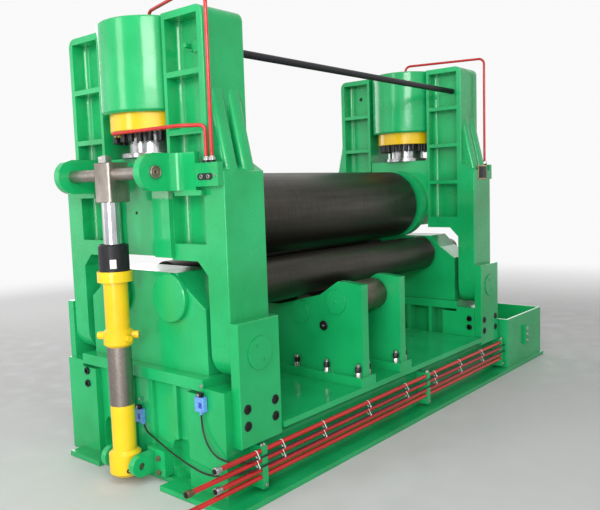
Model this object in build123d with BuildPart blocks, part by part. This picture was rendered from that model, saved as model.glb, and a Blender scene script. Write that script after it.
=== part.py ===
from build123d import *
import math
import os

# Hydraulic three-roll plate bending machine with a tipping end housing.
# X runs along the rolls from the tipping (near) end to the fixed (far) end,
# Y runs from the front (pipe side, -Y) to the back, Z is up, the floor is Z = 0.
# All sizes are millimetres.

os.makedirs("parts", exist_ok=True)

# Driving sizes: housings, placed from the barrel length of the rolls
TOP_ROLL_HALF = 1100.0
ROLL_TO_HOUSING = 315.0
HOUSING_X = TOP_ROLL_HALF + ROLL_TO_HOUSING
HOUSING_T = 300.0
HOUSING_TOP = 2600.0
COLUMN_IN = 290.0
COLUMN_OUT = 610.0
LEG_IN = 575.0
LEG_OUT = 725.0
SHELF_IN_Z = 1810.0
SHELF_OUT_Z = 1740.0
PORTAL_Z = 1270.0
PORTAL_CHAMFER = 75.0
PIN_Z = 780.0
PIN_R = 50.0
FOOT_GAP = 30.0
TOP_ROUND = 55.0
EDGE_ROUND = 8.0

# Driving sizes: column pockets
POCKET_DEPTH = 100.0
POCKET_RIM_IN = 24.0
POCKET_RIM_OUT = 40.0
POCKET_LIP = 40.0
POCKET_PITCH = 307.0
POCKET_RIB = 30.0
POCKET_ROWS = 4
POCKET_FILLET = 40.0

# Driving sizes: gusset ribs on the outer shelf
GUSSET_TOP = 2180.0
GUSSET_W = 92.0
GUSSET_X = 62.0
GUSSET_NOSE = 28.0
GUSSET_SINK = 30.0
GUSSET_TIP = 3.0
GUSSET_LEDGE = 12.0

# Driving sizes: main cylinders
BARREL_R = 295.0
BARREL_Z = 2090.0
BARREL_CHAMFER = 12.0
RING_R = 250.0
RING_H = 98.0
RING_CHAMFER = 4.0
ROD_R = 150.0
ROD_TOP = 2300.0
BORE_TOP = 2420.0
ROD_FLANGE_R = 195.0
ROD_FLANGE_H = 26.0

# Driving sizes: rolls
TOP_ROLL_R = 280.0
TOP_ROLL_Z = 1475.0
TOP_JOURNAL_R = 150.0
NOSE_ANGLE = 26.0
NOSE_L = 140.0
ROLL_EDGE = 6.0
NECK_STEP = 40.0
TOP_STUB = 120.0
BOTTOM_STUB = 150.0
BOTTOM_ROLL_R = 145.0
BOTTOM_ROLL_Y = 255.0
BOTTOM_ROLL_Z = 1055.0
BOTTOM_ROLL_EXTRA = 80.0
BOTTOM_ROLL_HALF = TOP_ROLL_HALF + BOTTOM_ROLL_EXTRA
BOTTOM_JOURNAL_R = 85.0

# Driving sizes: sliders
SLIDER_T = 280.0
SLIDER_TOP = 1845.0
SLIDER_BOTTOM = 1285.0
SLIDER_CHAMFER = 110.0
SLIDER_BOSS_R = 284.0
NEAR_BOSS_R = 205.0
SLIDER_BOSS_H = 85.0
BORE_END_GAP = 6.0
RUN = 1.0
FIT = 0.3

# Driving sizes: keepers that hold the sliders in the housings
KEEPER_Y1 = 170.0
KEEPER_Y2 = 310.0
KEEPER_T = 25.0
KEEPER_BOTTOM = 1283.0
KEEPER_TOP = 1660.0

# Driving sizes: tie bar between the two front columns
TIE_Y = -480.0
TIE_DROP = 188.0
TIE_Z = HOUSING_TOP - TIE_DROP
TIE_R = 22.0
TIE_NUT_R = 36.0
TIE_NUT_T = 30.0
TIE_END = 10.0

# Driving sizes: base
DECK_Z = 360.0
DECK_T = 35.0
DECK_Y = 800.0
WALL_Y = LEG_OUT + RUN
LAND_Z = PIN_Z - HOUSING_T / 2 - FOOT_GAP
LAND_T = 40.0
LEDGE_Z = 645.0
LEDGE_T = 65.0
LEDGE_Y = LEG_IN - 12.0
LEDGE_BACK = 20.0
BASE_OVERHANG = 215.0
BASE_END = HOUSING_X + BASE_OVERHANG
END_RECESS = 40.0
RIB_PROUD = 25.0
CORE_BACK = 60.0
POST_IN = 430.0
RIB_T = 30.0
RIB_YS = (-310.0, -95.0, 95.0, 310.0)
WINDOW_Y = 330.0
WINDOW_W = 175.0
WINDOW_TOP = 262.0
WINDOW_DEPTH = 60.0
WINDOW_R = 75.0
TOE_L = 105.0
TOE_END = BASE_END + TOE_L
TOE_IN = 290.0
TOE_OUT = 600.0
FLANGE_Y = 880.0
FLANGE_T = 30.0
DECK_END_GAP = 5.0
TRAY_L = 750.0
FAR_END = BASE_END + TRAY_L
TRAY_Z = 450.0
TRAY_Y = 850.0
TRAY_WALL = 20.0
TRAY_FLOOR = 300.0

# Driving sizes: bottom roll pedestals
PED_OUT = 140.0
PED_IN = 128.0
PED_HALF = 528.0
PED_SHOULDER_Z = 1010.0
PED_SLOPE_TOP = 1100.0
PED_TOP_HALF = 395.0
PED_CROWN_HALF = 300.0
PED_TOP_Z = 1195.0
PED_EDGE = 5.0
COVER_R = 140.0
COVER_H = 30.0

# Driving sizes: pivot blocks
BLOCK_W = 320.0
BLOCK_T = 60.0
BLOCK_BOTTOM = 290.0
BLOCK_TOP = 957.0
BLOCK_EDGE = 4.0
PIN_COVER_R = 90.0
PIN_COVER_T = 7.0
PIN_START = 5.0
DIMPLE_R = 9.0
DIMPLE_AT = 48.0
DIMPLE_DEPTH = 4.0

# Driving sizes: support stands and idlers
STAND_X1 = -450.0
STAND_X2 = 0.0
STAND_T = 65.0
STAND_HALF = 780.0
STAND_DIP_Y = 66.0
STAND_DIP_Z = 837.0
STAND_KNEE_Y = 440.0
STAND_KNEE_Z = 931.0
STAND_HUMP_Y1 = 589.0
STAND_HUMP_Y2 = 646.0
STAND_HUMP_Z = 1028.0
STAND_EDGE_Z = 1014.0
STAND_FOOT_T = 60.0
STAND_FOOT_W = 155.0
STAND_FOOT_HALF = 799.0
IDLER_R = 108.0
IDLER_IN_Y = 262.0
IDLER_OUT_Y = 571.0
IDLER_OUT_Z = 891.0
IDLER_SHAFT_R = 32.0
IDLER_SIDE = 8.0
IDLER_SHAFT_SIDE = 12.0
IDLER_COVER_R = 80.0
IDLER_COVER_T = 10.0

# Driving sizes: tipping cylinder
TIP_REACH = 330.0
TIP_X = -(HOUSING_X + TIP_REACH)
TIP_TOP_Z = 1750.0
TIP_BOTTOM_Z = 110.0
SHAFT_R = 35.0
EAR_Y = 350.0
EAR_T = 50.0
EAR_R = 100.0
EAR_FOOT = 35.0
EAR_ROOT_R = 60.0
EAR_FOOT_Y = 548.0
EAR_STRIP_END = 588.0
EAR_STRIP_H = 28.0
EAR_STRIP_Y = 375.0
SHAFT_END = 8.0
CROSS_X = 165.0
CROSS_Y = 100.0
CROSS_UP = 80.0
CROSS_DOWN = 110.0
CROSS_ROUND = 14.0
TIP_ROD_R = 52.0
TIP_ROD_L = 1320.0
TIP_BARREL_R = 68.0
TIP_BARREL_TOP = 1215.0
TIP_BORE_L = 1135.0
TIP_HEAD_R = 98.0
TIP_HEAD_H = 60.0
TIP_COLLAR_R = 84.0
TIP_COLLAR_Z = 785.0
TIP_COLLAR_H = 100.0
TIP_COLLAR_BEVEL = 15.0
TIP_PORT_R = 17.0
TIP_PORT_L = 24.0
TIP_FOOT_R = 92.0
TIP_FOOT_Z = 35.0
TIP_FOOT_TOP = 165.0
TIP_FOOT_BEVEL = 20.0
TIP_GLAND_R = 84.0
TIP_GLAND_H = 150.0
TIP_GLAND_EDGE = 8.0
TRUNNION_R = 22.0
TRUNNION_OUT = 138.0
TRUNNION_GAP = 14.0

# Driving sizes: trunnion lugs
LUG_Y = 112.0
LUG_T = 42.0
LUG_COVER_T = 12.0
LUG_COVER_BORE = 20.0
LUG_R = 62.0
LUG_FOOT_IN = 85.0
LUG_FOOT_W = 155.0
LUG_FOOT_H = 150.0
LUG_FOOT_T = 24.0

# Driving sizes: oil pipes along the base
PIPE_R = 13.5
PIPE_STANDOFF = 74.0
PIPE_Y = -(WALL_Y + PIPE_STANDOFF)
PIPE_Z1, PIPE_LEAD1 = 253.0, 157.0
PIPE_Z2, PIPE_LEAD2 = 203.0, 346.0
PIPE_Z3, PIPE_LEAD3 = 149.0, 158.0
PIPE_Z4, PIPE_LEAD4 = 111.0, 380.0
PIPE_ROWS = (
    (PIPE_Z1, -BASE_END - PIPE_LEAD1),
    (PIPE_Z2, -BASE_END - PIPE_LEAD2),
    (PIPE_Z3, -BASE_END - PIPE_LEAD3),
    (PIPE_Z4, -BASE_END - PIPE_LEAD4),
)
CLAMP_INSET_NEAR = 194.0
CLAMP_INSET_FAR = 30.0
CLAMP_MID_X = 316.0
CLAMP_XS = (-BASE_END + CLAMP_INSET_NEAR, CLAMP_MID_X, BASE_END - CLAMP_INSET_FAR)
CLAMP_W = 40.0
CLAMP_BOTTOM = 45.0
CLAMP_TOP = 280.0
CLAMP_COVER = 4.0
OUTLET_LEAD = 365.0
OUTLET_X = BASE_END + OUTLET_LEAD
OUTLET_W = 40.0
OUTLET_T = 25.0
OUTLET_BOTTOM = 170.0
OUTLET_TOP = 346.0

# Driving sizes: oil pipes on the housings
LINE_R = 10.0
LINE_BEND = 45.0
LINE_RISE = 85.0
LINE_CROWN_Z = HOUSING_TOP + LINE_RISE
LINE_OFF = 23.0
LINE_Y1 = -668.0
LINE_Y2 = -626.0
LINE_RUN_Z = 1981.0
LINE_RUN_OFF = 108.0
LINE_START_Y = 60.0
LINE_STUB = 33.0
RING_BEND = 28.0
FAR_LINE_Y = -665.0
PORT_W = 44.0
PORT_L = 28.0
PORT_LOW = 18.0
PAD_Y1 = 550.0
PAD_Y2 = 722.0
PAD_T = 38.0
PAD_BOTTOM = 1668.0
PAD_TOP = 1790.0

# Driving sizes: limit switches and their cables
SWITCH_W = 70.0
SWITCH_H = 80.0
SWITCH_T = 34.0
SWITCH_ROUND = 6.0
STRAP_W = 22.0
STRAP_T = 6.0
STRAP_H = 70.0
UPPER_SWITCH_Y = -562.0
UPPER_SWITCH_Z = 480.0
LOWER_SWITCH_Y = 31.0
LOWER_SWITCH_Z = 296.0
GLAND_R = 8.0
GLAND_L = 22.0
GLAND_SINK = 4.0
GLAND_SHIFT = 27.0
SLANT = (-0.25, -0.74, -0.62)
CABLE_R = 5.0
UPPER_CABLE_Z = 228.0
LOWER_CABLE_Z = 176.0

near_x = -HOUSING_X
far_x = HOUSING_X


def save(part, name):
    part.label = name
    export_step(part, "parts/" + name + ".step")


def mirrored_sides():
    return (-1, 1)


# Housing casting, drawn about its own centre plane at x_mid
def housing(x_mid, tie_hole):
    half_t = HOUSING_T / 2
    with BuildPart() as casting:
        with BuildSketch(Plane.YZ.offset(x_mid - half_t)):
            for side in mirrored_sides():
                with BuildLine():
                    Polyline(
                        (side * COLUMN_IN, HOUSING_TOP),
                        (side * COLUMN_OUT, HOUSING_TOP),
                        (side * COLUMN_OUT, SHELF_IN_Z),
                        (side * LEG_OUT, SHELF_OUT_Z),
                        (side * LEG_OUT, PIN_Z - half_t),
                        (side * LEG_IN, PIN_Z - half_t),
                        (side * LEG_IN, PORTAL_Z - PORTAL_CHAMFER),
                        (side * (LEG_IN - PORTAL_CHAMFER), PORTAL_Z),
                        (side * COLUMN_IN, PORTAL_Z),
                        close=True,
                    )
                make_face()
        extrude(amount=HOUSING_T)
        # rounded top corners, then softened outer edges
        corner = (
            casting.edges().filter_by(Axis.X)
            .filter_by_position(Axis.Z, HOUSING_TOP - 1, HOUSING_TOP + 1)
        )
        fillet([e for e in corner if abs(e.center().Y) > COLUMN_OUT - 1], TOP_ROUND)
        upright = casting.edges().filter_by(Axis.Z)
        fillet([e for e in upright if abs(e.center().Y) > COLUMN_OUT - 1], EDGE_ROUND)
        # cast cylinder barrel between the columns
        with BuildSketch(Plane.XZ):
            with BuildLine():
                Polyline(
                    (x_mid, BARREL_Z),
                    (x_mid + BARREL_R - BARREL_CHAMFER, BARREL_Z),
                    (x_mid + BARREL_R, BARREL_Z + BARREL_CHAMFER),
                    (x_mid + BARREL_R, HOUSING_TOP - EDGE_ROUND),
                    (x_mid + BARREL_R - EDGE_ROUND, HOUSING_TOP),
                    (x_mid, HOUSING_TOP),
                    close=True,
                )
            make_face()
        revolve(axis=Axis((x_mid, 0, 0), (0, 0, 1)))
        # round foot about the pivot pin
        with BuildSketch(Plane.XZ.offset(-LEG_OUT)):
            with Locations((x_mid, PIN_Z - half_t / 2)):
                Rectangle(HOUSING_T, half_t)
            with Locations((x_mid, PIN_Z)):
                Circle(half_t, mode=Mode.SUBTRACT)
        extrude(amount=2 * LEG_OUT, mode=Mode.SUBTRACT)
        # round-nosed gusset ribs that taper up the column
        for side in mirrored_sides():
            for gx in (x_mid - GUSSET_X, x_mid + GUSSET_X):
                for level, reach in (
                    (SHELF_OUT_Z, LEG_OUT - GUSSET_LEDGE),
                    (GUSSET_TOP, COLUMN_OUT + GUSSET_TIP),
                ):
                    with BuildSketch(Plane.XY.offset(level)) as nose:
                        root = COLUMN_OUT - GUSSET_SINK
                        with Locations((gx, side * (root + reach) / 2)):
                            Rectangle(GUSSET_W, reach - root)
                        tips = [v for v in nose.vertices() if abs(v.Y) > reach - 1]
                        fillet(tips, GUSSET_NOSE)
                loft()
        # recessed pockets with rounded back corners, on both faces of the columns
        pocket_in = COLUMN_IN + POCKET_RIM_IN
        pocket_out = COLUMN_OUT - POCKET_RIM_OUT
        pocket_h = POCKET_PITCH - POCKET_RIB
        for row in range(POCKET_ROWS):
            with BuildSketch(Plane.XY.offset(HOUSING_TOP - POCKET_LIP - POCKET_PITCH * row)) as pockets:
                for face_dir in mirrored_sides():
                    back_x = x_mid + face_dir * (half_t - POCKET_DEPTH)
                    for side in mirrored_sides():
                        with Locations((back_x + face_dir * POCKET_DEPTH / 2,
                                        side * (pocket_in + pocket_out) / 2)):
                            Rectangle(POCKET_DEPTH, pocket_out - pocket_in)
                inner = [v for v in pockets.vertices() if abs(v.X - x_mid) < half_t - 1]
                fillet(inner, POCKET_FILLET)
            extrude(amount=-pocket_h, mode=Mode.SUBTRACT)
        # cast pad for the oil line on the outward face
        pad_x = x_mid + math.copysign(half_t + PAD_T / 2, x_mid)
        with Locations((pad_x, -(PAD_Y1 + PAD_Y2) / 2, (PAD_BOTTOM + PAD_TOP) / 2)):
            Box(PAD_T, PAD_Y2 - PAD_Y1, PAD_TOP - PAD_BOTTOM)
        # bore for the piston rod
        with Locations((x_mid, 0, (BARREL_Z + BORE_TOP) / 2)):
            Cylinder(ROD_R + RUN, BORE_TOP - BARREL_Z, mode=Mode.SUBTRACT)
        # pivot pin bores in the legs
        with BuildSketch(Plane.XZ.offset(-LEG_OUT)):
            with Locations((x_mid, PIN_Z)):
                Circle(PIN_R + FIT)
        extrude(amount=2 * LEG_OUT, mode=Mode.SUBTRACT)
        if tie_hole:
            with BuildSketch(Plane.YZ.offset(x_mid - half_t)):
                with Locations((TIE_Y, TIE_Z)):
                    Circle(TIE_R + FIT)
            extrude(amount=half_t + POCKET_DEPTH, mode=Mode.SUBTRACT)
    return casting.part


web_half = HOUSING_T / 2 - POCKET_DEPTH

near_housing = housing(near_x, False)
save(near_housing, "near_housing")
far_housing = housing(far_x, True)
save(far_housing, "far_housing")

# Tie bar between the two front columns
with BuildPart() as tie_bar:
    with BuildSketch(Plane.YZ.offset(near_x + web_half + FIT)):
        with Locations((TIE_Y, TIE_Z)):
            Circle(TIE_R)
    extrude(amount=far_x - near_x + TIE_NUT_T + TIE_END - FIT)
save(tie_bar.part, "tie_bar")


def tie_nut(face_x, outward, bored):
    with BuildPart() as nut:
        with BuildSketch(Plane.YZ.offset(face_x)):
            with Locations((TIE_Y, TIE_Z)):
                RegularPolygon(TIE_NUT_R, 6)
                if bored:
                    Circle(TIE_R + FIT, mode=Mode.SUBTRACT)
        extrude(amount=outward * TIE_NUT_T)
    return nut.part


save(tie_nut(far_x + web_half, 1, True), "far_tie_nut")
save(tie_nut(near_x - web_half, -1, False), "near_tie_nut")


# Gland rings, piston rods and sliders at both ends
run_x = near_x - HOUSING_T / 2 - LINE_RUN_OFF


def main_ring(x_mid, with_port):
    with BuildPart() as ring:
        with BuildSketch(Plane.XY.offset(BARREL_Z)):
            with Locations((x_mid, 0)):
                Circle(RING_R)
                Circle(ROD_R + RUN, mode=Mode.SUBTRACT)
        extrude(amount=-RING_H)
        chamfer(ring.edges().filter_by(GeomType.CIRCLE).group_by(Axis.Z)[0], RING_CHAMFER)
        if with_port:
            port_bottom = LINE_RUN_Z - PORT_LOW
            port_top = BARREL_Z - RING_H / 2
            with Locations((
                run_x + LINE_STUB + PORT_L / 2, LINE_START_Y, (port_bottom + port_top) / 2,
            )):
                Box(PORT_L, PORT_W, port_top - port_bottom)
    return ring.part


def piston_rod(x_mid):
    with BuildPart() as rod:
        with BuildSketch(Plane.XY.offset(SLIDER_TOP)):
            with Locations((x_mid, 0)):
                Circle(ROD_FLANGE_R)
        extrude(amount=ROD_FLANGE_H)
        with BuildSketch(Plane.XY.offset(SLIDER_TOP)):
            with Locations((x_mid, 0)):
                Circle(ROD_R)
        extrude(amount=ROD_TOP - SLIDER_TOP)
    return rod.part


nose_slope = math.tan(math.radians(NOSE_ANGLE))
nose_start = near_x + SLIDER_T / 2 + SLIDER_BOSS_H
nose_end = nose_start - NOSE_L
nose_tip_r = TOP_JOURNAL_R - NOSE_L * nose_slope


def slider_block(x_mid, inward):
    half_w = COLUMN_IN - RUN
    half_t = SLIDER_T / 2
    with BuildPart() as block:
        with BuildSketch(Plane.YZ.offset(x_mid - half_t)):
            with BuildLine():
                Polyline(
                    (-half_w, SLIDER_TOP),
                    (half_w, SLIDER_TOP),
                    (half_w, SLIDER_BOTTOM + SLIDER_CHAMFER),
                    (half_w - SLIDER_CHAMFER, SLIDER_BOTTOM),
                    (-half_w + SLIDER_CHAMFER, SLIDER_BOTTOM),
                    (-half_w, SLIDER_BOTTOM + SLIDER_CHAMFER),
                    close=True,
                )
            make_face()
        extrude(amount=SLIDER_T)
        boss_plane = Plane(
            origin=(x_mid + inward * half_t, 0, TOP_ROLL_Z),
            x_dir=(0, inward, 0), z_dir=(inward, 0, 0),
        )
        with BuildSketch(boss_plane):
            Circle(SLIDER_BOSS_R if inward < 0 else NEAR_BOSS_R)
        extrude(amount=SLIDER_BOSS_H)
        if inward < 0:
            with BuildSketch(Plane.YZ.offset(x_mid - half_t - SLIDER_BOSS_H)):
                with Locations((0, TOP_ROLL_Z)):
                    Circle(TOP_JOURNAL_R + FIT)
            extrude(amount=SLIDER_T + SLIDER_BOSS_H, mode=Mode.SUBTRACT)
        else:
            # tapered seat that lets the roll end out when the housing tips
            with BuildSketch(Plane.XZ):
                with BuildLine():
                    Polyline(
                        (nose_start + 1, TOP_ROLL_Z),
                        (nose_start + 1, TOP_ROLL_Z + TOP_JOURNAL_R + RUN + nose_slope),
                        (nose_end - BORE_END_GAP, TOP_ROLL_Z + nose_tip_r + RUN),
                        (nose_end - BORE_END_GAP, TOP_ROLL_Z),
                        close=True,
                    )
                make_face()
            revolve(axis=Axis((0, 0, TOP_ROLL_Z), (1, 0, 0)), mode=Mode.SUBTRACT)
    return block.part


save(slider_block(far_x, -1), "far_slider")
save(slider_block(near_x, 1), "near_slider")
save(main_ring(near_x, True), "near_gland_ring")
save(main_ring(far_x, False), "far_gland_ring")
save(piston_rod(near_x), "near_piston_rod")
save(piston_rod(far_x), "far_piston_rod")

# Top roll with a plain far journal and a tapered near nose
with BuildPart() as top_roll:
    with BuildSketch(Plane.XZ):
        with BuildLine():
            Polyline(
                (nose_end, TOP_ROLL_Z),
                (nose_end, TOP_ROLL_Z + nose_tip_r),
                (nose_start, TOP_ROLL_Z + TOP_JOURNAL_R),
                (-TOP_ROLL_HALF - NECK_STEP, TOP_ROLL_Z + TOP_JOURNAL_R),
                (-TOP_ROLL_HALF, TOP_ROLL_Z + TOP_JOURNAL_R + NECK_STEP),
                (-TOP_ROLL_HALF, TOP_ROLL_Z + TOP_ROLL_R - ROLL_EDGE),
                (-TOP_ROLL_HALF + ROLL_EDGE, TOP_ROLL_Z + TOP_ROLL_R),
                (TOP_ROLL_HALF - ROLL_EDGE, TOP_ROLL_Z + TOP_ROLL_R),
                (TOP_ROLL_HALF, TOP_ROLL_Z + TOP_ROLL_R - ROLL_EDGE),
                (TOP_ROLL_HALF, TOP_ROLL_Z + TOP_JOURNAL_R + NECK_STEP),
                (TOP_ROLL_HALF + NECK_STEP, TOP_ROLL_Z + TOP_JOURNAL_R),
                (far_x + SLIDER_T / 2 + TOP_STUB, TOP_ROLL_Z + TOP_JOURNAL_R),
                (far_x + SLIDER_T / 2 + TOP_STUB, TOP_ROLL_Z),
                close=True,
            )
        make_face()
    revolve(axis=Axis((0, 0, TOP_ROLL_Z), (1, 0, 0)))
save(top_roll.part, "top_roll")

# Bottom rolls
for name, y_mid in (("bottom_roll_front", -BOTTOM_ROLL_Y), ("bottom_roll_rear", BOTTOM_ROLL_Y)):
    end_x = HOUSING_X + PED_OUT
    with BuildPart() as roll:
        with BuildSketch(Plane.XZ.offset(-y_mid)):
            with BuildLine():
                Polyline(
                    (-end_x, BOTTOM_ROLL_Z),
                    (-end_x, BOTTOM_ROLL_Z + BOTTOM_JOURNAL_R),
                    (-BOTTOM_ROLL_HALF, BOTTOM_ROLL_Z + BOTTOM_JOURNAL_R),
                    (-BOTTOM_ROLL_HALF, BOTTOM_ROLL_Z + BOTTOM_ROLL_R - ROLL_EDGE),
                    (-BOTTOM_ROLL_HALF + ROLL_EDGE, BOTTOM_ROLL_Z + BOTTOM_ROLL_R),
                    (BOTTOM_ROLL_HALF - ROLL_EDGE, BOTTOM_ROLL_Z + BOTTOM_ROLL_R),
                    (BOTTOM_ROLL_HALF, BOTTOM_ROLL_Z + BOTTOM_ROLL_R - ROLL_EDGE),
                    (BOTTOM_ROLL_HALF, BOTTOM_ROLL_Z + BOTTOM_JOURNAL_R),
                    (end_x + BOTTOM_STUB, BOTTOM_ROLL_Z + BOTTOM_JOURNAL_R),
                    (end_x + BOTTOM_STUB, BOTTOM_ROLL_Z),
                    close=True,
                )
            make_face()
        revolve(axis=Axis((0, y_mid, BOTTOM_ROLL_Z), (1, 0, 0)))
    save(roll.part, name)


# Bottom roll pedestals, one on each end ledge
def pedestal(x_mid):
    outward = math.copysign(1, x_mid)
    plane = Plane(
        origin=(x_mid + outward * PED_OUT, 0, 0),
        x_dir=(0, -outward, 0), z_dir=(-outward, 0, 0),
    )
    with BuildPart() as ped:
        with BuildSketch(plane):
            with BuildLine():
                Polyline(
                    (-PED_HALF, LEDGE_Z),
                    (PED_HALF, LEDGE_Z),
                    (PED_HALF, PED_SHOULDER_Z),
                    (PED_TOP_HALF, PED_SLOPE_TOP),
                    (PED_CROWN_HALF, PED_TOP_Z),
                    (-PED_CROWN_HALF, PED_TOP_Z),
                    (-PED_TOP_HALF, PED_SLOPE_TOP),
                    (-PED_HALF, PED_SHOULDER_Z),
                    close=True,
                )
            make_face()
            with Locations((-BOTTOM_ROLL_Y, BOTTOM_ROLL_Z), (BOTTOM_ROLL_Y, BOTTOM_ROLL_Z)):
                Circle(BOTTOM_JOURNAL_R + FIT, mode=Mode.SUBTRACT)
        extrude(amount=PED_OUT + PED_IN)
        outer = ped.faces().filter_by(Axis.X).sort_by(Axis.X)[-1 if outward > 0 else 0]
        chamfer(outer.outer_wire().edges().filter_by_position(
            Axis.Z, LEDGE_Z + 1, PED_TOP_Z + 1), PED_EDGE)
    return ped.part


save(pedestal(near_x), "near_pedestal")
save(pedestal(far_x), "far_pedestal")

with BuildPart() as covers:
    with BuildSketch(Plane.YZ.offset(near_x - PED_OUT - FIT)):
        with Locations((-BOTTOM_ROLL_Y, BOTTOM_ROLL_Z), (BOTTOM_ROLL_Y, BOTTOM_ROLL_Z)):
            Circle(COVER_R)
    extrude(amount=-COVER_H)
    chamfer(covers.edges().filter_by(GeomType.CIRCLE).group_by(Axis.X)[0], ROLL_EDGE)
save(covers.part, "near_bearing_covers")


# Pivot blocks and pins at the feet of both housings
def pivot_blocks(x_mid):
    with BuildPart() as blocks:
        for side in mirrored_sides():
            inner = side * (LEG_OUT + RUN)
            plane = Plane(origin=(x_mid, inner, 0), x_dir=(1, 0, 0), z_dir=(0, side, 0))
            with BuildSketch(plane):
                with Locations((0, side * -1 * (BLOCK_BOTTOM + BLOCK_TOP) / 2)):
                    Rectangle(BLOCK_W, BLOCK_TOP - BLOCK_BOTTOM)
                with Locations((0, side * -1 * PIN_Z)):
                    Circle(PIN_R + FIT, mode=Mode.SUBTRACT)
            extrude(amount=BLOCK_T)
        for side in mirrored_sides():
            outer = blocks.faces().filter_by(Axis.Y).sort_by(Axis.Y)[-1 if side > 0 else 0]
            chamfer(outer.outer_wire().edges(), BLOCK_EDGE)
    return blocks.part


def pivot_pins(x_mid):
    with BuildPart() as pins:
        for side in mirrored_sides():
            inner = side * (LEG_IN + PIN_START)
            outer = LEG_OUT + RUN + BLOCK_T + FIT
            plane = Plane(origin=(x_mid, inner, PIN_Z), x_dir=(1, 0, 0), z_dir=(0, side, 0))
            with BuildSketch(plane):
                Circle(PIN_R)
            extrude(amount=outer - LEG_IN - PIN_START)
            cap = Plane(origin=(x_mid, side * outer, PIN_Z), x_dir=(1, 0, 0), z_dir=(0, side, 0))
            with BuildSketch(cap):
                Circle(PIN_COVER_R)
            extrude(amount=PIN_COVER_T)
            with BuildSketch(cap.offset(PIN_COVER_T)):
                with PolarLocations(DIMPLE_AT, 2, start_angle=side * 60):
                    Circle(DIMPLE_R)
            extrude(amount=-DIMPLE_DEPTH, mode=Mode.SUBTRACT)
    return pins.part


save(pivot_blocks(near_x), "near_pivot_blocks")
save(pivot_blocks(far_x), "far_pivot_blocks")
save(pivot_pins(near_x), "near_pivot_pins")
save(pivot_pins(far_x), "far_pivot_pins")

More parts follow.
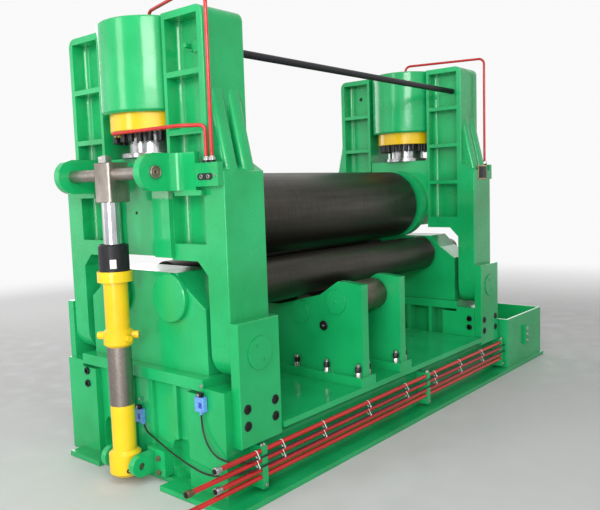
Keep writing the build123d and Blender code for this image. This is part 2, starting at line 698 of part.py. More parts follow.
# Base frame
with BuildPart() as base:
    # bottom plate with the wide front flange and the toes at the tipping end
    with BuildSketch(Plane.XY):
        with Locations(((FAR_END - BASE_END) / 2, (WALL_Y - FLANGE_Y) / 2)):
            Rectangle(FAR_END + BASE_END, WALL_Y + FLANGE_Y)
        with Locations((-(BASE_END + TOE_END) / 2, -(FLANGE_Y + TOE_IN) / 2)):
            Rectangle(TOE_END - BASE_END, FLANGE_Y - TOE_IN)
        with Locations((-(BASE_END + TOE_END) / 2, (TOE_OUT + TOE_IN) / 2)):
            Rectangle(TOE_END - BASE_END, TOE_OUT - TOE_IN)
    extrude(amount=FLANGE_T)
    # box between the ends, with the deck on it
    with BuildSketch(Plane.XY.offset(FLANGE_T)):
        Rectangle(2 * HOUSING_X, 2 * WALL_Y)
    extrude(amount=DECK_Z - DECK_T - FLANGE_T)
    with BuildSketch(Plane.XY.offset(DECK_Z - DECK_T)):
        Rectangle(2 * (HOUSING_X - BLOCK_W / 2 - DECK_END_GAP), 2 * DECK_Y)
    extrude(amount=DECK_T)
    for x_mid in (near_x, far_x):
        outward = math.copysign(1, x_mid)
        x_out = outward * BASE_END
        x_in = outward * (HOUSING_X - HOUSING_T / 2 - LEDGE_BACK)
        wall_out = x_out - outward * END_RECESS
        wall_in = x_mid - outward * CORE_BACK
        mid = (x_out + x_in) / 2
        width = abs(x_out - x_in)
        side_mid = (WALL_Y + LEDGE_Y) / 2
        post_mid = (WALL_Y + POST_IN) / 2
        land_top = LAND_Z - LAND_T
        # end wall, set back behind its posts
        with BuildSketch(Plane.XY.offset(FLANGE_T)):
            with Locations(((wall_out + wall_in) / 2, 0)):
                Rectangle(abs(wall_out - wall_in), 2 * WALL_Y)
            with Locations((mid, -post_mid), (mid, post_mid)):
                Rectangle(width, WALL_Y - POST_IN)
        extrude(amount=land_top - FLANGE_T)
        rib_out = wall_out + outward * RIB_PROUD
        with BuildSketch(Plane.XY.offset(FLANGE_T)):
            for rib_y in RIB_YS:
                with Locations(((rib_out + x_in) / 2, rib_y)):
                    Rectangle(abs(rib_out - x_in), RIB_T)
            with Locations(((wall_out + wall_in) / 2, 0)):
                Rectangle(abs(wall_out - wall_in), 2 * LEDGE_Y)
        extrude(amount=LEDGE_Z - LEDGE_T - FLANGE_T)
        # raised ledge for the pedestal, lower lands under the housing feet
        with BuildSketch(Plane.XY.offset(LEDGE_Z - LEDGE_T)):
            with Locations((mid, 0)):
                Rectangle(width, 2 * LEDGE_Y)
        extrude(amount=LEDGE_T)
        with BuildSketch(Plane.XY.offset(land_top)):
            with Locations((mid, -side_mid), (mid, side_mid)):
                Rectangle(width, WALL_Y - LEDGE_Y)
        extrude(amount=LAND_T)
    # seats for the trunnion lugs of the tipping cylinder
    lug_seat = LUG_FOOT_IN + LUG_FOOT_W / 2
    with BuildSketch(Plane.YZ.offset(-BASE_END)):
        with Locations((-lug_seat, TIP_BOTTOM_Z), (lug_seat, TIP_BOTTOM_Z)):
            Rectangle(LUG_FOOT_W, LUG_FOOT_H)
    extrude(amount=END_RECESS)
    # cleaning windows low in the tipping end wall
    window_z = (WINDOW_TOP + FLANGE_T) / 2
    with BuildSketch(Plane.YZ.offset(-BASE_END)) as windows:
        with Locations((-WINDOW_Y, window_z), (WINDOW_Y, window_z)):
            Rectangle(WINDOW_W, WINDOW_TOP - FLANGE_T)
        fillet(windows.vertices().group_by(Axis.Z)[-1], WINDOW_R)
    extrude(amount=END_RECESS + WINDOW_DEPTH, mode=Mode.SUBTRACT)
    # open tray behind the fixed end
    with BuildSketch(Plane.XY):
        with Locations(((BASE_END + FAR_END) / 2, 0)):
            Rectangle(FAR_END - BASE_END, 2 * TRAY_Y)
    extrude(amount=TRAY_Z)
    with BuildSketch(Plane.XY.offset(TRAY_FLOOR)):
        with Locations(((BASE_END + FAR_END) / 2, 0)):
            Rectangle(FAR_END - BASE_END - 2 * TRAY_WALL, 2 * (TRAY_Y - TRAY_WALL))
    extrude(amount=TRAY_Z - TRAY_FLOOR, mode=Mode.SUBTRACT)
save(base.part, "base_frame")

# Support stands across the deck, dished between the rolls
idler_reach = BOTTOM_ROLL_R + IDLER_R + FIT
idler_in_z = BOTTOM_ROLL_Z - math.sqrt(idler_reach**2 - (IDLER_IN_Y - BOTTOM_ROLL_Y)**2)
idler_centres = [
    (side * y, z) for side in mirrored_sides()
    for y, z in ((IDLER_IN_Y, idler_in_z), (IDLER_OUT_Y, IDLER_OUT_Z))
]
with BuildPart() as stands:
    for stand_x in (STAND_X1, STAND_X2):
        with BuildSketch(Plane.YZ.offset(stand_x)):
            for side in mirrored_sides():
                with BuildLine():
                    Polyline(
                        (0, DECK_Z),
                        (0, STAND_DIP_Z),
                        (side * STAND_DIP_Y, STAND_DIP_Z),
                        (side * STAND_KNEE_Y, STAND_KNEE_Z),
                        (side * STAND_HUMP_Y1, STAND_HUMP_Z),
                        (side * STAND_HUMP_Y2, STAND_HUMP_Z),
                        (side * STAND_HALF, STAND_EDGE_Z),
                        (side * STAND_HALF, DECK_Z),
                        close=True,
                    )
                make_face()
            with Locations(*idler_centres):
                Circle(IDLER_SHAFT_R + FIT, mode=Mode.SUBTRACT)
        extrude(amount=STAND_T)
        with BuildSketch(Plane.XY.offset(DECK_Z)):
            with Locations((stand_x + STAND_T / 2, 0)):
                Rectangle(STAND_FOOT_W, 2 * STAND_FOOT_HALF)
        extrude(amount=STAND_FOOT_T)
save(stands.part, "support_stands")

# Idler rollers between the stands
idler_names = ("idler_front_inner", "idler_front_outer", "idler_rear_inner", "idler_rear_outer")
for name, (y_mid, z_mid) in zip(idler_names, idler_centres):
    with BuildPart() as idler:
        with BuildSketch(Plane.YZ.offset(STAND_X1 + STAND_T + IDLER_SIDE)):
            with Locations((y_mid, z_mid)):
                Circle(IDLER_R)
        extrude(amount=STAND_X2 - STAND_X1 - STAND_T - 2 * IDLER_SIDE)
        with BuildSketch(Plane.YZ.offset(STAND_X1 + IDLER_SHAFT_SIDE)):
            with Locations((y_mid, z_mid)):
                Circle(IDLER_SHAFT_R)
        extrude(amount=STAND_X2 - STAND_X1 + STAND_T - 2 * IDLER_SHAFT_SIDE)
    save(idler.part, name)

with BuildPart() as idler_covers:
    with BuildSketch(Plane.YZ.offset(STAND_X1)):
        with Locations(*idler_centres):
            Circle(IDLER_COVER_R)
    extrude(amount=-IDLER_COVER_T)
    with BuildSketch(Plane.YZ.offset(STAND_X2 + STAND_T)):
        with Locations(*idler_centres):
            Circle(IDLER_COVER_R)
    extrude(amount=IDLER_COVER_T)
save(idler_covers.part, "idler_covers")

# Ears on the near columns that carry the cross shaft
column_face = near_x - HOUSING_T / 2
with BuildPart() as ears:
    for side in mirrored_sides():
        plane = Plane(
            origin=(0, side * EAR_Y, 0), x_dir=(1, 0, 0), z_dir=(0, side, 0)
        )
        with BuildSketch(plane):
            with Locations(((TIP_X + column_face) / 2, -side * TIP_TOP_Z)):
                Rectangle(column_face - TIP_X, 2 * EAR_R)
            with Locations((TIP_X, -side * TIP_TOP_Z)):
                Circle(EAR_R)
                Circle(SHAFT_R, mode=Mode.SUBTRACT)
        extrude(amount=EAR_T)
        # foot pad on the column, blended into the ear with a hollow root
        foot_x = column_face - EAR_FOOT
        root_x = foot_x - EAR_ROOT_R
        root_y = EAR_Y + EAR_T + EAR_ROOT_R
        hollow = EAR_ROOT_R * math.sin(math.radians(45))
        with BuildSketch(Plane.XY.offset(TIP_TOP_Z - EAR_R)):
            with BuildLine():
                ThreePointArc(
                    (root_x, side * (root_y - EAR_ROOT_R)),
                    (root_x + hollow, side * (root_y - hollow)),
                    (foot_x, side * root_y),
                )
                Polyline(
                    (foot_x, side * root_y),
                    (foot_x, side * EAR_FOOT_Y),
                    (column_face, side * EAR_FOOT_Y),
                    (column_face, side * (EAR_Y + EAR_T)),
                    (root_x, side * (root_y - EAR_ROOT_R)),
                )
            make_face()
        extrude(amount=2 * EAR_R)
        # strip along the bottom of the foot pad
        with BuildSketch(Plane.XY.offset(TIP_TOP_Z - EAR_R)):
            strip_y = side * (EAR_STRIP_Y + EAR_STRIP_END) / 2
            with Locations(((column_face + foot_x) / 2, strip_y)):
                Rectangle(EAR_FOOT, EAR_STRIP_END - EAR_STRIP_Y)
        extrude(amount=-EAR_STRIP_H)
save(ears.part, "near_ears")

with BuildPart() as cross_shaft:
    with BuildSketch(Plane.XZ.offset(EAR_Y + EAR_T + SHAFT_END)):
        with Locations((TIP_X, TIP_TOP_Z)):
            Circle(SHAFT_R)
    extrude(amount=-2 * (EAR_Y + EAR_T + SHAFT_END))
save(cross_shaft.part, "cross_shaft")


# Keepers bolted over the slider edges
def keepers(face_x, outward):
    with BuildPart() as strips:
        with BuildSketch(Plane.YZ.offset(face_x)):
            for side in mirrored_sides():
                with Locations((side * (KEEPER_Y1 + KEEPER_Y2) / 2, (KEEPER_BOTTOM + KEEPER_TOP) / 2)):
                    Rectangle(KEEPER_Y2 - KEEPER_Y1, KEEPER_TOP - KEEPER_BOTTOM)
        extrude(amount=outward * KEEPER_T)
    return strips.part


save(keepers(column_face, -1), "near_keepers")
save(keepers(far_x + HOUSING_T / 2, 1), "far_keepers")

# Crosshead, rod, gland and barrel of the tipping cylinder
with BuildPart() as crosshead:
    with Locations((TIP_X, 0, TIP_TOP_Z + (CROSS_UP - CROSS_DOWN) / 2)):
        Box(CROSS_X, CROSS_Y, CROSS_UP + CROSS_DOWN)
    fillet(crosshead.edges().filter_by(Axis.Z), CROSS_ROUND)
    with BuildSketch(Plane.XZ.offset(CROSS_Y / 2)):
        with Locations((TIP_X, TIP_TOP_Z)):
            Circle(SHAFT_R + FIT)
    extrude(amount=-CROSS_Y, mode=Mode.SUBTRACT)
save(crosshead.part, "tip_crosshead")

with BuildPart() as tip_rod:
    with BuildSketch(Plane.XY.offset(TIP_TOP_Z - CROSS_DOWN)):
        with Locations((TIP_X, 0)):
            Circle(TIP_ROD_R)
    extrude(amount=-TIP_ROD_L)
save(tip_rod.part, "tip_rod")

with BuildPart() as tip_barrel:
    with BuildSketch(Plane.XZ):
        with BuildLine():
            Polyline(
                (TIP_X, TIP_FOOT_Z),
                (TIP_X + TIP_FOOT_R - TIP_FOOT_BEVEL, TIP_FOOT_Z),
                (TIP_X + TIP_FOOT_R, TIP_FOOT_Z + TIP_FOOT_BEVEL),
                (TIP_X + TIP_FOOT_R, TIP_FOOT_TOP),
                (TIP_X + TIP_BARREL_R, TIP_FOOT_TOP + TIP_FOOT_BEVEL),
                (TIP_X + TIP_BARREL_R, TIP_COLLAR_Z),
                (TIP_X + TIP_COLLAR_R, TIP_COLLAR_Z + TIP_COLLAR_BEVEL),
                (TIP_X + TIP_COLLAR_R, TIP_COLLAR_Z + TIP_COLLAR_H - TIP_COLLAR_BEVEL),
                (TIP_X + TIP_BARREL_R, TIP_COLLAR_Z + TIP_COLLAR_H),
                (TIP_X + TIP_BARREL_R, TIP_BARREL_TOP - TIP_HEAD_H),
                (TIP_X + TIP_HEAD_R, TIP_BARREL_TOP - TIP_HEAD_H),
                (TIP_X + TIP_HEAD_R, TIP_BARREL_TOP),
                (TIP_X, TIP_BARREL_TOP),
                close=True,
            )
        make_face()
    revolve(axis=Axis((TIP_X, 0, 0), (0, 0, 1)))
    with BuildSketch(Plane.XY.offset(TIP_BARREL_TOP)):
        with Locations((TIP_X, 0)):
            Circle(TIP_ROD_R + RUN)
    extrude(amount=-TIP_BORE_L, mode=Mode.SUBTRACT)
    for side in mirrored_sides():
        for level, start, radius, length in (
            (TIP_BOTTOM_Z, TIP_BARREL_R, TRUNNION_R, TRUNNION_OUT - TIP_BARREL_R),
            (TIP_COLLAR_Z + TIP_COLLAR_H / 2, TIP_BARREL_R, TIP_PORT_R,
             TIP_COLLAR_R - TIP_BARREL_R + TIP_PORT_L),
        ):
            stub = Plane(origin=(TIP_X, side * start, level), x_dir=(1, 0, 0), z_dir=(0, side, 0))
            with BuildSketch(stub):
                Circle(radius)
            extrude(amount=length)
save(tip_barrel.part, "tip_barrel")

with BuildPart() as tip_gland:
    with BuildSketch(Plane.XY.offset(TIP_BARREL_TOP)):
        with Locations((TIP_X, 0)):
            Circle(TIP_GLAND_R)
            Circle(TIP_ROD_R + RUN, mode=Mode.SUBTRACT)
    extrude(amount=TIP_GLAND_H)
    chamfer(tip_gland.edges().filter_by(GeomType.CIRCLE).group_by(Axis.Z)[-1], TIP_GLAND_EDGE)
save(tip_gland.part, "tip_gland")

# Trunnion lugs at the foot of the tipping cylinder
with BuildPart() as lugs:
    for side in mirrored_sides():
        plane = Plane(origin=(0, side * LUG_Y, 0), x_dir=(1, 0, 0), z_dir=(0, side, 0))
        with BuildSketch(plane):
            with Locations(((TIP_X - BASE_END) / 2, -side * TIP_BOTTOM_Z)):
                Rectangle(-BASE_END - TIP_X, 2 * LUG_R)
            with Locations((TIP_X, -side * TIP_BOTTOM_Z)):
                Circle(LUG_R)
        extrude(amount=LUG_T)
        with BuildSketch(plane):
            with Locations((TIP_X, -side * TIP_BOTTOM_Z)):
                Circle(TRUNNION_R + TRUNNION_GAP)
        extrude(amount=LUG_T - LUG_COVER_T, mode=Mode.SUBTRACT)
        with BuildSketch(plane):
            with Locations((TIP_X, -side * TIP_BOTTOM_Z)):
                Circle(LUG_COVER_BORE)
        extrude(amount=LUG_T, mode=Mode.SUBTRACT)
        with BuildSketch(Plane.YZ.offset(-BASE_END)):
            with Locations((side * lug_seat, TIP_BOTTOM_Z)):
                Rectangle(LUG_FOOT_W, LUG_FOOT_H)
        extrude(amount=-LUG_FOOT_T)
save(lugs.part, "trunnion_lugs")

# Red oil pipes along the front of the base
with BuildPart() as base_pipes:
    for pipe_z, start_x in PIPE_ROWS:
        with BuildSketch(Plane.YZ.offset(start_x)):
            with Locations((PIPE_Y, pipe_z)):
                Circle(PIPE_R)
        extrude(amount=BASE_END - start_x)
save(base_pipes.part, "base_pipes")

# Clamps that hold the pipes, and the outlet block on the tray
clamp_y = PIPE_Y - PIPE_R - CLAMP_COVER
cable_y = clamp_y - CABLE_R - FIT
with BuildPart() as clamps:
    for clamp_x in CLAMP_XS:
        with Locations((clamp_x, (clamp_y - WALL_Y) / 2, (CLAMP_BOTTOM + CLAMP_TOP) / 2)):
            Box(CLAMP_W, -clamp_y - WALL_Y, CLAMP_TOP - CLAMP_BOTTOM)
    with BuildSketch(Plane.YZ.offset(CLAMP_XS[0] - CLAMP_W)):
        for pipe_z, start_x in PIPE_ROWS:
            with Locations((PIPE_Y, pipe_z)):
                Circle(PIPE_R + FIT)
    extrude(amount=CLAMP_XS[-1] - CLAMP_XS[0] + 2 * CLAMP_W, mode=Mode.SUBTRACT)
    with Locations((OUTLET_X, -TRAY_Y - OUTLET_T / 2, (OUTLET_BOTTOM + OUTLET_TOP) / 2)):
        Box(OUTLET_W, OUTLET_T, OUTLET_TOP - OUTLET_BOTTOM)
save(clamps.part, "pipe_clamps")


# Round tube of one section along a route with rounded corners
def tube(points, radii, radius):
    with BuildPart() as run:
        with BuildLine() as path:
            FilletPolyline(*points, radius=radii)
        with BuildSketch(Plane(origin=path.line @ 0, z_dir=path.line % 0)):
            Circle(radius)
        sweep()
    return run.part


# Oil lines on the housings
line_x = column_face - LINE_OFF
crown_line = tube(
    (
        (near_x, 0, HOUSING_TOP),
        (near_x, 0, LINE_CROWN_Z),
        (line_x, LINE_Y1, LINE_CROWN_Z),
        (line_x, LINE_Y1, PAD_TOP),
    ),
    LINE_BEND, LINE_R,
)
ring_line = tube(
    (
        (run_x + LINE_STUB, LINE_START_Y, LINE_RUN_Z),
        (run_x, LINE_START_Y, LINE_RUN_Z),
        (run_x, LINE_Y2 + LINE_RUN_OFF, LINE_RUN_Z),
        (line_x, LINE_Y2, LINE_RUN_Z),
        (line_x, LINE_Y2, PAD_TOP),
    ),
    RING_BEND, LINE_R,
)
with BuildPart() as near_pipes:
    add(crown_line)
    add(ring_line)
save(near_pipes.part, "near_pipes")

far_line_x = far_x + HOUSING_T / 2 + LINE_OFF
far_pipe = tube(
    (
        (far_x, 0, HOUSING_TOP),
        (far_x, 0, LINE_CROWN_Z),
        (far_line_x, FAR_LINE_Y, LINE_CROWN_Z),
        (far_line_x, FAR_LINE_Y, PAD_TOP),
    ),
    LINE_BEND, LINE_R,
)
save(far_pipe, "far_pipe")

# Limit switches on the tipping end, each on a strap and with a cable gland
upper_x = -BASE_END - SWITCH_T / 2
lower_x = -BASE_END + END_RECESS - SWITCH_T / 2
upper_gland = Vector(upper_x, UPPER_SWITCH_Y, UPPER_SWITCH_Z + GLAND_SINK)
lower_gland = Vector(lower_x, LOWER_SWITCH_Y - GLAND_SHIFT, LOWER_SWITCH_Z + GLAND_SINK)
upper_way = Vector(0, 0, -1)
lower_way = Vector(*SLANT).normalized()
with BuildPart() as switches:
    for mid_x, y_mid, low_z, gland, way in (
        (upper_x, UPPER_SWITCH_Y, UPPER_SWITCH_Z, upper_gland, upper_way),
        (lower_x, LOWER_SWITCH_Y, LOWER_SWITCH_Z, lower_gland, lower_way),
    ):
        with BuildSketch(Plane.XY.offset(low_z)):
            with Locations((mid_x, y_mid)):
                RectangleRounded(SWITCH_T, SWITCH_W, SWITCH_ROUND)
        extrude(amount=SWITCH_H)
        strap_x = mid_x + (SWITCH_T - STRAP_T) / 2
        with Locations((strap_x, y_mid, low_z + (SWITCH_H + STRAP_H) / 2)):
            Box(STRAP_T, STRAP_W, SWITCH_H + STRAP_H)
        with BuildSketch(Plane(origin=gland, z_dir=way)):
            Circle(GLAND_R)
        extrude(amount=GLAND_L)
save(switches.part, "limit_switches")


# Rounding of each corner of a cable, from its shorter run and its turn
def cable_radii(points, label):
    radii = []
    for before, corner, after in zip(points, points[1:], points[2:]):
        leg_in = Vector(*corner) - Vector(*before)
        leg_out = Vector(*after) - Vector(*corner)
        half_turn = math.radians(leg_in.get_angle(leg_out)) / 2
        radii.append(0.45 * min(leg_in.length, leg_out.length) / math.tan(half_turn))
    print(label, [round(r) for r in radii])
    return radii


upper_start = upper_gland + upper_way * (GLAND_L + FIT)
lower_start = lower_gland + lower_way * (GLAND_L + FIT)
upper_route = (
    tuple(upper_start),
    (upper_x, UPPER_SWITCH_Y, 412),
    (-1653, -585, 340),
    (-1658, -634, 284),
    (-1655, -694, 250),
    (-1622, -757, 233),
    (-1570, -804, UPPER_CABLE_Z),
    (-1508, cable_y, UPPER_CABLE_Z),
    (BASE_END, cable_y, UPPER_CABLE_Z),
)
lower_route = (
    tuple(lower_start),
    tuple(lower_start + lower_way * 40),
    (-1630, -95, 247),
    (-1640, -185, 226),
    (-1648, -285, 197),
    (-1652, -390, 172),
    (-1655, -485, 152),
    (-1657, -570, 142),
    (-1654, -650, 147),
    (-1650, -716, 158),
    (-1620, -766, 169),
    (-1566, -801, LOWER_CABLE_Z),
    (-1505, cable_y, LOWER_CABLE_Z),
    (BASE_END, cable_y, LOWER_CABLE_Z),
)
save(tube(upper_route, cable_radii(upper_route, "upper cable"), CABLE_R), "control_cable_upper")
save(tube(lower_route, cable_radii(lower_route, "lower cable"), CABLE_R), "control_cable_lower")
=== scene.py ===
import math
import bmesh
import bpy
from mathutils import Matrix, Vector


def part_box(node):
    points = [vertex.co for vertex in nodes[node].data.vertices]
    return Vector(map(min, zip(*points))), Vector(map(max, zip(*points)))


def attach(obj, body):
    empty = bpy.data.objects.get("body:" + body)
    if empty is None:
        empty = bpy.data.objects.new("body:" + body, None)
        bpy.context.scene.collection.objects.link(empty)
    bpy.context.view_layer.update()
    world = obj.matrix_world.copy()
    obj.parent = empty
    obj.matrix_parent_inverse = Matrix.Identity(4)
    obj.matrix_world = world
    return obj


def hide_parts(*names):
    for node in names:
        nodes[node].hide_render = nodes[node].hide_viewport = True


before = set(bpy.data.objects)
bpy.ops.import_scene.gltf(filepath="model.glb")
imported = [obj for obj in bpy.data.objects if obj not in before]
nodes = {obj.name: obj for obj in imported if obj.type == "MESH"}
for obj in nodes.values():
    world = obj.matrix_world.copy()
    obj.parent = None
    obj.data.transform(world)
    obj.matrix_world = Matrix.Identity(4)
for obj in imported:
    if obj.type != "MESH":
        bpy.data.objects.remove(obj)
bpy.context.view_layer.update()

# Every worn edge is rounded this much in the shading, in metres
EDGE_SOFT = 0.003
EDGE_SAMPLES = 4

# Sockets of the colour Mix node: the colour below, the colour on top, the result
UNDER, OVER, MIXED = 6, 7, 2


# Material helpers
def new_material(name):
    mat = bpy.data.materials.new(name)
    mat.use_nodes = True
    nt = mat.node_tree
    shader = nt.nodes["Principled BSDF"]
    return mat, nt, shader


def link(nt, a, a_out, b, b_in):
    nt.links.new(a.outputs[a_out], b.inputs[b_in])


def object_coords(nt, scale=(1, 1, 1)):
    coord = nt.nodes.new("ShaderNodeTexCoord")
    mapping = nt.nodes.new("ShaderNodeMapping")
    mapping.inputs["Scale"].default_value = scale
    link(nt, coord, "Object", mapping, "Vector")
    return mapping


def noise(nt, vector, scale, detail=4.0, rough=0.5):
    tex = nt.nodes.new("ShaderNodeTexNoise")
    tex.inputs["Scale"].default_value = scale
    tex.inputs["Detail"].default_value = detail
    tex.inputs["Roughness"].default_value = rough
    link(nt, vector, "Vector", tex, "Vector")
    return tex


def ramp(nt, source, out, stops):
    node = nt.nodes.new("ShaderNodeValToRGB")
    link(nt, source, out, node, "Fac")
    stops = list(stops)
    els = node.color_ramp.elements
    while len(els) < len(stops):
        els.new(0.5)
    for el, (pos, colour) in zip(els, stops):
        el.position = pos
        el.color = colour
    return node


def grey(v):
    return (v, v, v, 1)


def rgb(r, g, b):
    return (r, g, b, 1)


def value_range(nt, source, out, low, high, to_low, to_high):
    node = nt.nodes.new("ShaderNodeMapRange")
    node.inputs["From Min"].default_value = low
    node.inputs["From Max"].default_value = high
    node.inputs["To Min"].default_value = to_low
    node.inputs["To Max"].default_value = to_high
    link(nt, source, out, node, "Value")
    return node


def math_node(nt, operation, a, a_out, b, b_out):
    node = nt.nodes.new("ShaderNodeMath")
    node.operation = operation
    link(nt, a, a_out, node, 0)
    link(nt, b, b_out, node, 1)
    return node


def mix_colour(nt, factor, factor_out, under, under_out, over):
    node = nt.nodes.new("ShaderNodeMix")
    node.data_type = "RGBA"
    link(nt, factor, factor_out, node, "Factor")
    link(nt, under, under_out, node, UNDER)
    node.inputs[OVER].default_value = over
    return node


def bump(nt, height, out, strength, distance, normal=None):
    node = nt.nodes.new("ShaderNodeBump")
    node.inputs["Strength"].default_value = strength
    node.inputs["Distance"].default_value = distance
    link(nt, height, out, node, "Height")
    if normal is not None:
        link(nt, normal, "Normal", node, "Normal")
    return node


def soft_edge(nt):
    edge = nt.nodes.new("ShaderNodeBevel")
    edge.samples = EDGE_SAMPLES
    edge.inputs["Radius"].default_value = EDGE_SOFT
    return edge


# Painted shade that darkens the corners, with faint spots of real soil elsewhere
CORNER_REACH = 0.10
CORNER_STOPS = [(0.30, grey(1)), (0.88, grey(0))]
SPOT_STOPS = [(0.30, grey(1)), (0.42, grey(0))]
SPOT_SHARE = 0.2


def corner_shade_and_soil_amount(nt, grime, shade_and_dirt):
    ao = nt.nodes.new("ShaderNodeAmbientOcclusion")
    ao.inputs["Distance"].default_value = CORNER_REACH
    # Ambient occlusion makes the corners darker: painted shade
    corners = ramp(nt, ao, "AO", CORNER_STOPS)
    spots = ramp(nt, grime, "Fac", SPOT_STOPS)
    spot_part = value_range(nt, spots, "Color", 0, 1, 0, shade_and_dirt * SPOT_SHARE)
    amount = nt.nodes.new("ShaderNodeMath")
    amount.operation = "MULTIPLY_ADD"
    link(nt, corners, "Color", amount, 0)
    amount.inputs[1].default_value = shade_and_dirt
    link(nt, spot_part, "Result", amount, 2)
    return amount


# Thin, rubbed paint above a height, with a ragged lower edge
RAGGED_NOISE = (55.0, 5, 0.7)
RAGGED_RANGE, RAGGED_H = (0.25, 0.75), 0.012
PATCH_FADE = 0.008
PATCH_AMOUNT = 0.75


def pale_patch(nt, vec, under, height, colour):
    split = nt.nodes.new("ShaderNodeSeparateXYZ")
    link(nt, vec, "Vector", split, "Vector")
    ragged = noise(nt, vec, *RAGGED_NOISE)
    lift = value_range(nt, ragged, "Fac", *RAGGED_RANGE, -RAGGED_H, RAGGED_H)
    total = math_node(nt, "ADD", split, "Z", lift, "Result")
    above = value_range(nt, total, "Value", height, height + PATCH_FADE, 0, PATCH_AMOUNT)
    return mix_colour(nt, above, "Result", under, MIXED, colour)


# Glossy enamel over plate or cast iron: orange peel and waves in the paint, painted shade in the
# corners and faint soil spots.
# A noise is (scale, detail, roughness), a bump is (strength, height in metres)
TONE_NOISE, TONE_AT = (1.7, 5), (0.32, 0.5, 0.72)
GRIME_NOISE, GRIME_RANGE = (9.0, 8, 0.65), (0.2, 0.8)
PEEL_NOISE, PEEL_BUMP = (260.0, 2), (0.05, 0.002)
LUMP_NOISE, LUMP_H = (26.0, 5, 0.6), 0.004
WAVE_NOISE, WAVE_BUMP = (3.5, 2), (0.14, 0.02)
ENAMEL_GLOSS = 0.28
ENAMEL_SHINIER, ENAMEL_DULLER = 0.7, 1.6
CLEAR_COAT, CLEAR_ROUGH = 0.3, 0.06
# Darker copy of the paint for the painted corner shade and the soil spots, as shares of the paint
# colour
SHADE_AND_SOIL_SHARES = (0.35, 0.38, 0.38)


def enamel(name, base, dark, light, rough=0.2, cast=0.0, shade_and_dirt=0.35, patch=None):
    mat, nt, shader = new_material(name)
    vec = object_coords(nt)
    tone = ramp(nt, noise(nt, vec, *TONE_NOISE), "Fac", zip(TONE_AT, (dark, base, light)))
    grime = noise(nt, vec, *GRIME_NOISE)
    # Painted shade in the corners and real soil spots, both in this darker copy of the paint
    shade_and_soil_colour = rgb(*(c * share for c, share in zip(base, SHADE_AND_SOIL_SHARES)))
    colour = mix_colour(nt, corner_shade_and_soil_amount(nt, grime, shade_and_dirt), "Value", tone, "Color", shade_and_soil_colour)
    if patch:
        colour = pale_patch(nt, vec, colour, *patch)
    link(nt, colour, MIXED, shader, "Base Color")
    sheen = value_range(nt, grime, "Fac", *GRIME_RANGE, rough * ENAMEL_SHINIER, rough * ENAMEL_DULLER)
    link(nt, sheen, "Result", shader, "Roughness")
    shader.inputs["Specular IOR Level"].default_value = ENAMEL_GLOSS
    shader.inputs["Coat Weight"].default_value = CLEAR_COAT
    shader.inputs["Coat Roughness"].default_value = CLEAR_ROUGH
    surface = bump(nt, noise(nt, vec, *PEEL_NOISE), "Fac", *PEEL_BUMP, soft_edge(nt))
    if cast:
        surface = bump(nt, noise(nt, vec, *LUMP_NOISE), "Fac", cast, LUMP_H, surface)
    surface = bump(nt, noise(nt, vec, *WAVE_NOISE), "Fac", *WAVE_BUMP, surface)
    link(nt, surface, "Normal", shader, "Normal")
    link(nt, surface, "Normal", shader, "Coat Normal")
    return mat


# Bare metal with brush or turning marks stretched along one axis
MARKS_DETAIL, MARKS_ROUGH = 3, 0.6
CLOUD_NOISE, CLOUD_RANGE = (4.0, 8, 0.62), (0.3, 0.7)
PATINA_SPREAD = 0.3
STREAK_STOPS = [(0.3, grey(0.68)), (0.7, grey(1.0))]
METAL_DULLER, METAL_SHINIER = 1.35, 0.75
SCRATCH_H = 0.001


def metal(name, base, dark, rough, stretch, fine=220.0, patina=0.5, scratches=0.08,
          shine=0.9, bands=(1, 1, 1)):
    mat, nt, shader = new_material(name)
    marks = noise(nt, object_coords(nt, stretch), fine, MARKS_DETAIL, MARKS_ROUGH)
    cloud = noise(nt, object_coords(nt, bands), *CLOUD_NOISE)
    spread = patina * PATINA_SPREAD
    tone = ramp(nt, cloud, "Fac", [(0.5 - spread, dark), (0.5 + spread, base)])
    streaks = ramp(nt, marks, "Fac", STREAK_STOPS)
    colour = nt.nodes.new("ShaderNodeMix")
    colour.data_type = "RGBA"
    colour.blend_type = "MULTIPLY"
    colour.inputs["Factor"].default_value = 1.0
    link(nt, tone, "Color", colour, UNDER)
    link(nt, streaks, "Color", colour, OVER)
    link(nt, colour, MIXED, shader, "Base Color")
    shader.inputs["Metallic"].default_value = shine
    sheen = value_range(nt, cloud, "Fac", *CLOUD_RANGE, rough * METAL_DULLER, rough * METAL_SHINIER)
    link(nt, sheen, "Result", shader, "Roughness")
    surface = bump(nt, marks, "Fac", scratches, SCRATCH_H, soft_edge(nt))
    link(nt, surface, "Normal", shader, "Normal")
    return mat


# Moulded, painted or oxide-black small parts
GRAIN_DETAIL, GRAIN_RANGE = 5, (0.3, 0.7)
PLAIN_SHINIER, PLAIN_DULLER = 0.8, 1.25
GRAIN_H = 0.0015


def plain(name, base, rough, scale=60.0, strength=0.12, vary=0.25, coat=0.0, gloss=0.5):
    mat, nt, shader = new_material(name)
    grain = noise(nt, object_coords(nt), scale, GRAIN_DETAIL)
    low = rgb(*(c * (1 - vary) for c in base[:3]))
    high = rgb(*(min(1, c * (1 + vary)) for c in base[:3]))
    tone = ramp(nt, grain, "Fac", zip(GRAIN_RANGE, (low, high)))
    link(nt, tone, "Color", shader, "Base Color")
    sheen = value_range(nt, grain, "Fac", *GRAIN_RANGE, rough * PLAIN_SHINIER, rough * PLAIN_DULLER)
    link(nt, sheen, "Result", shader, "Roughness")
    shader.inputs["Specular IOR Level"].default_value = gloss
    shader.inputs["Coat Weight"].default_value = coat
    surface = bump(nt, grain, "Fac", strength, GRAIN_H)
    link(nt, surface, "Normal", shader, "Normal")
    return mat


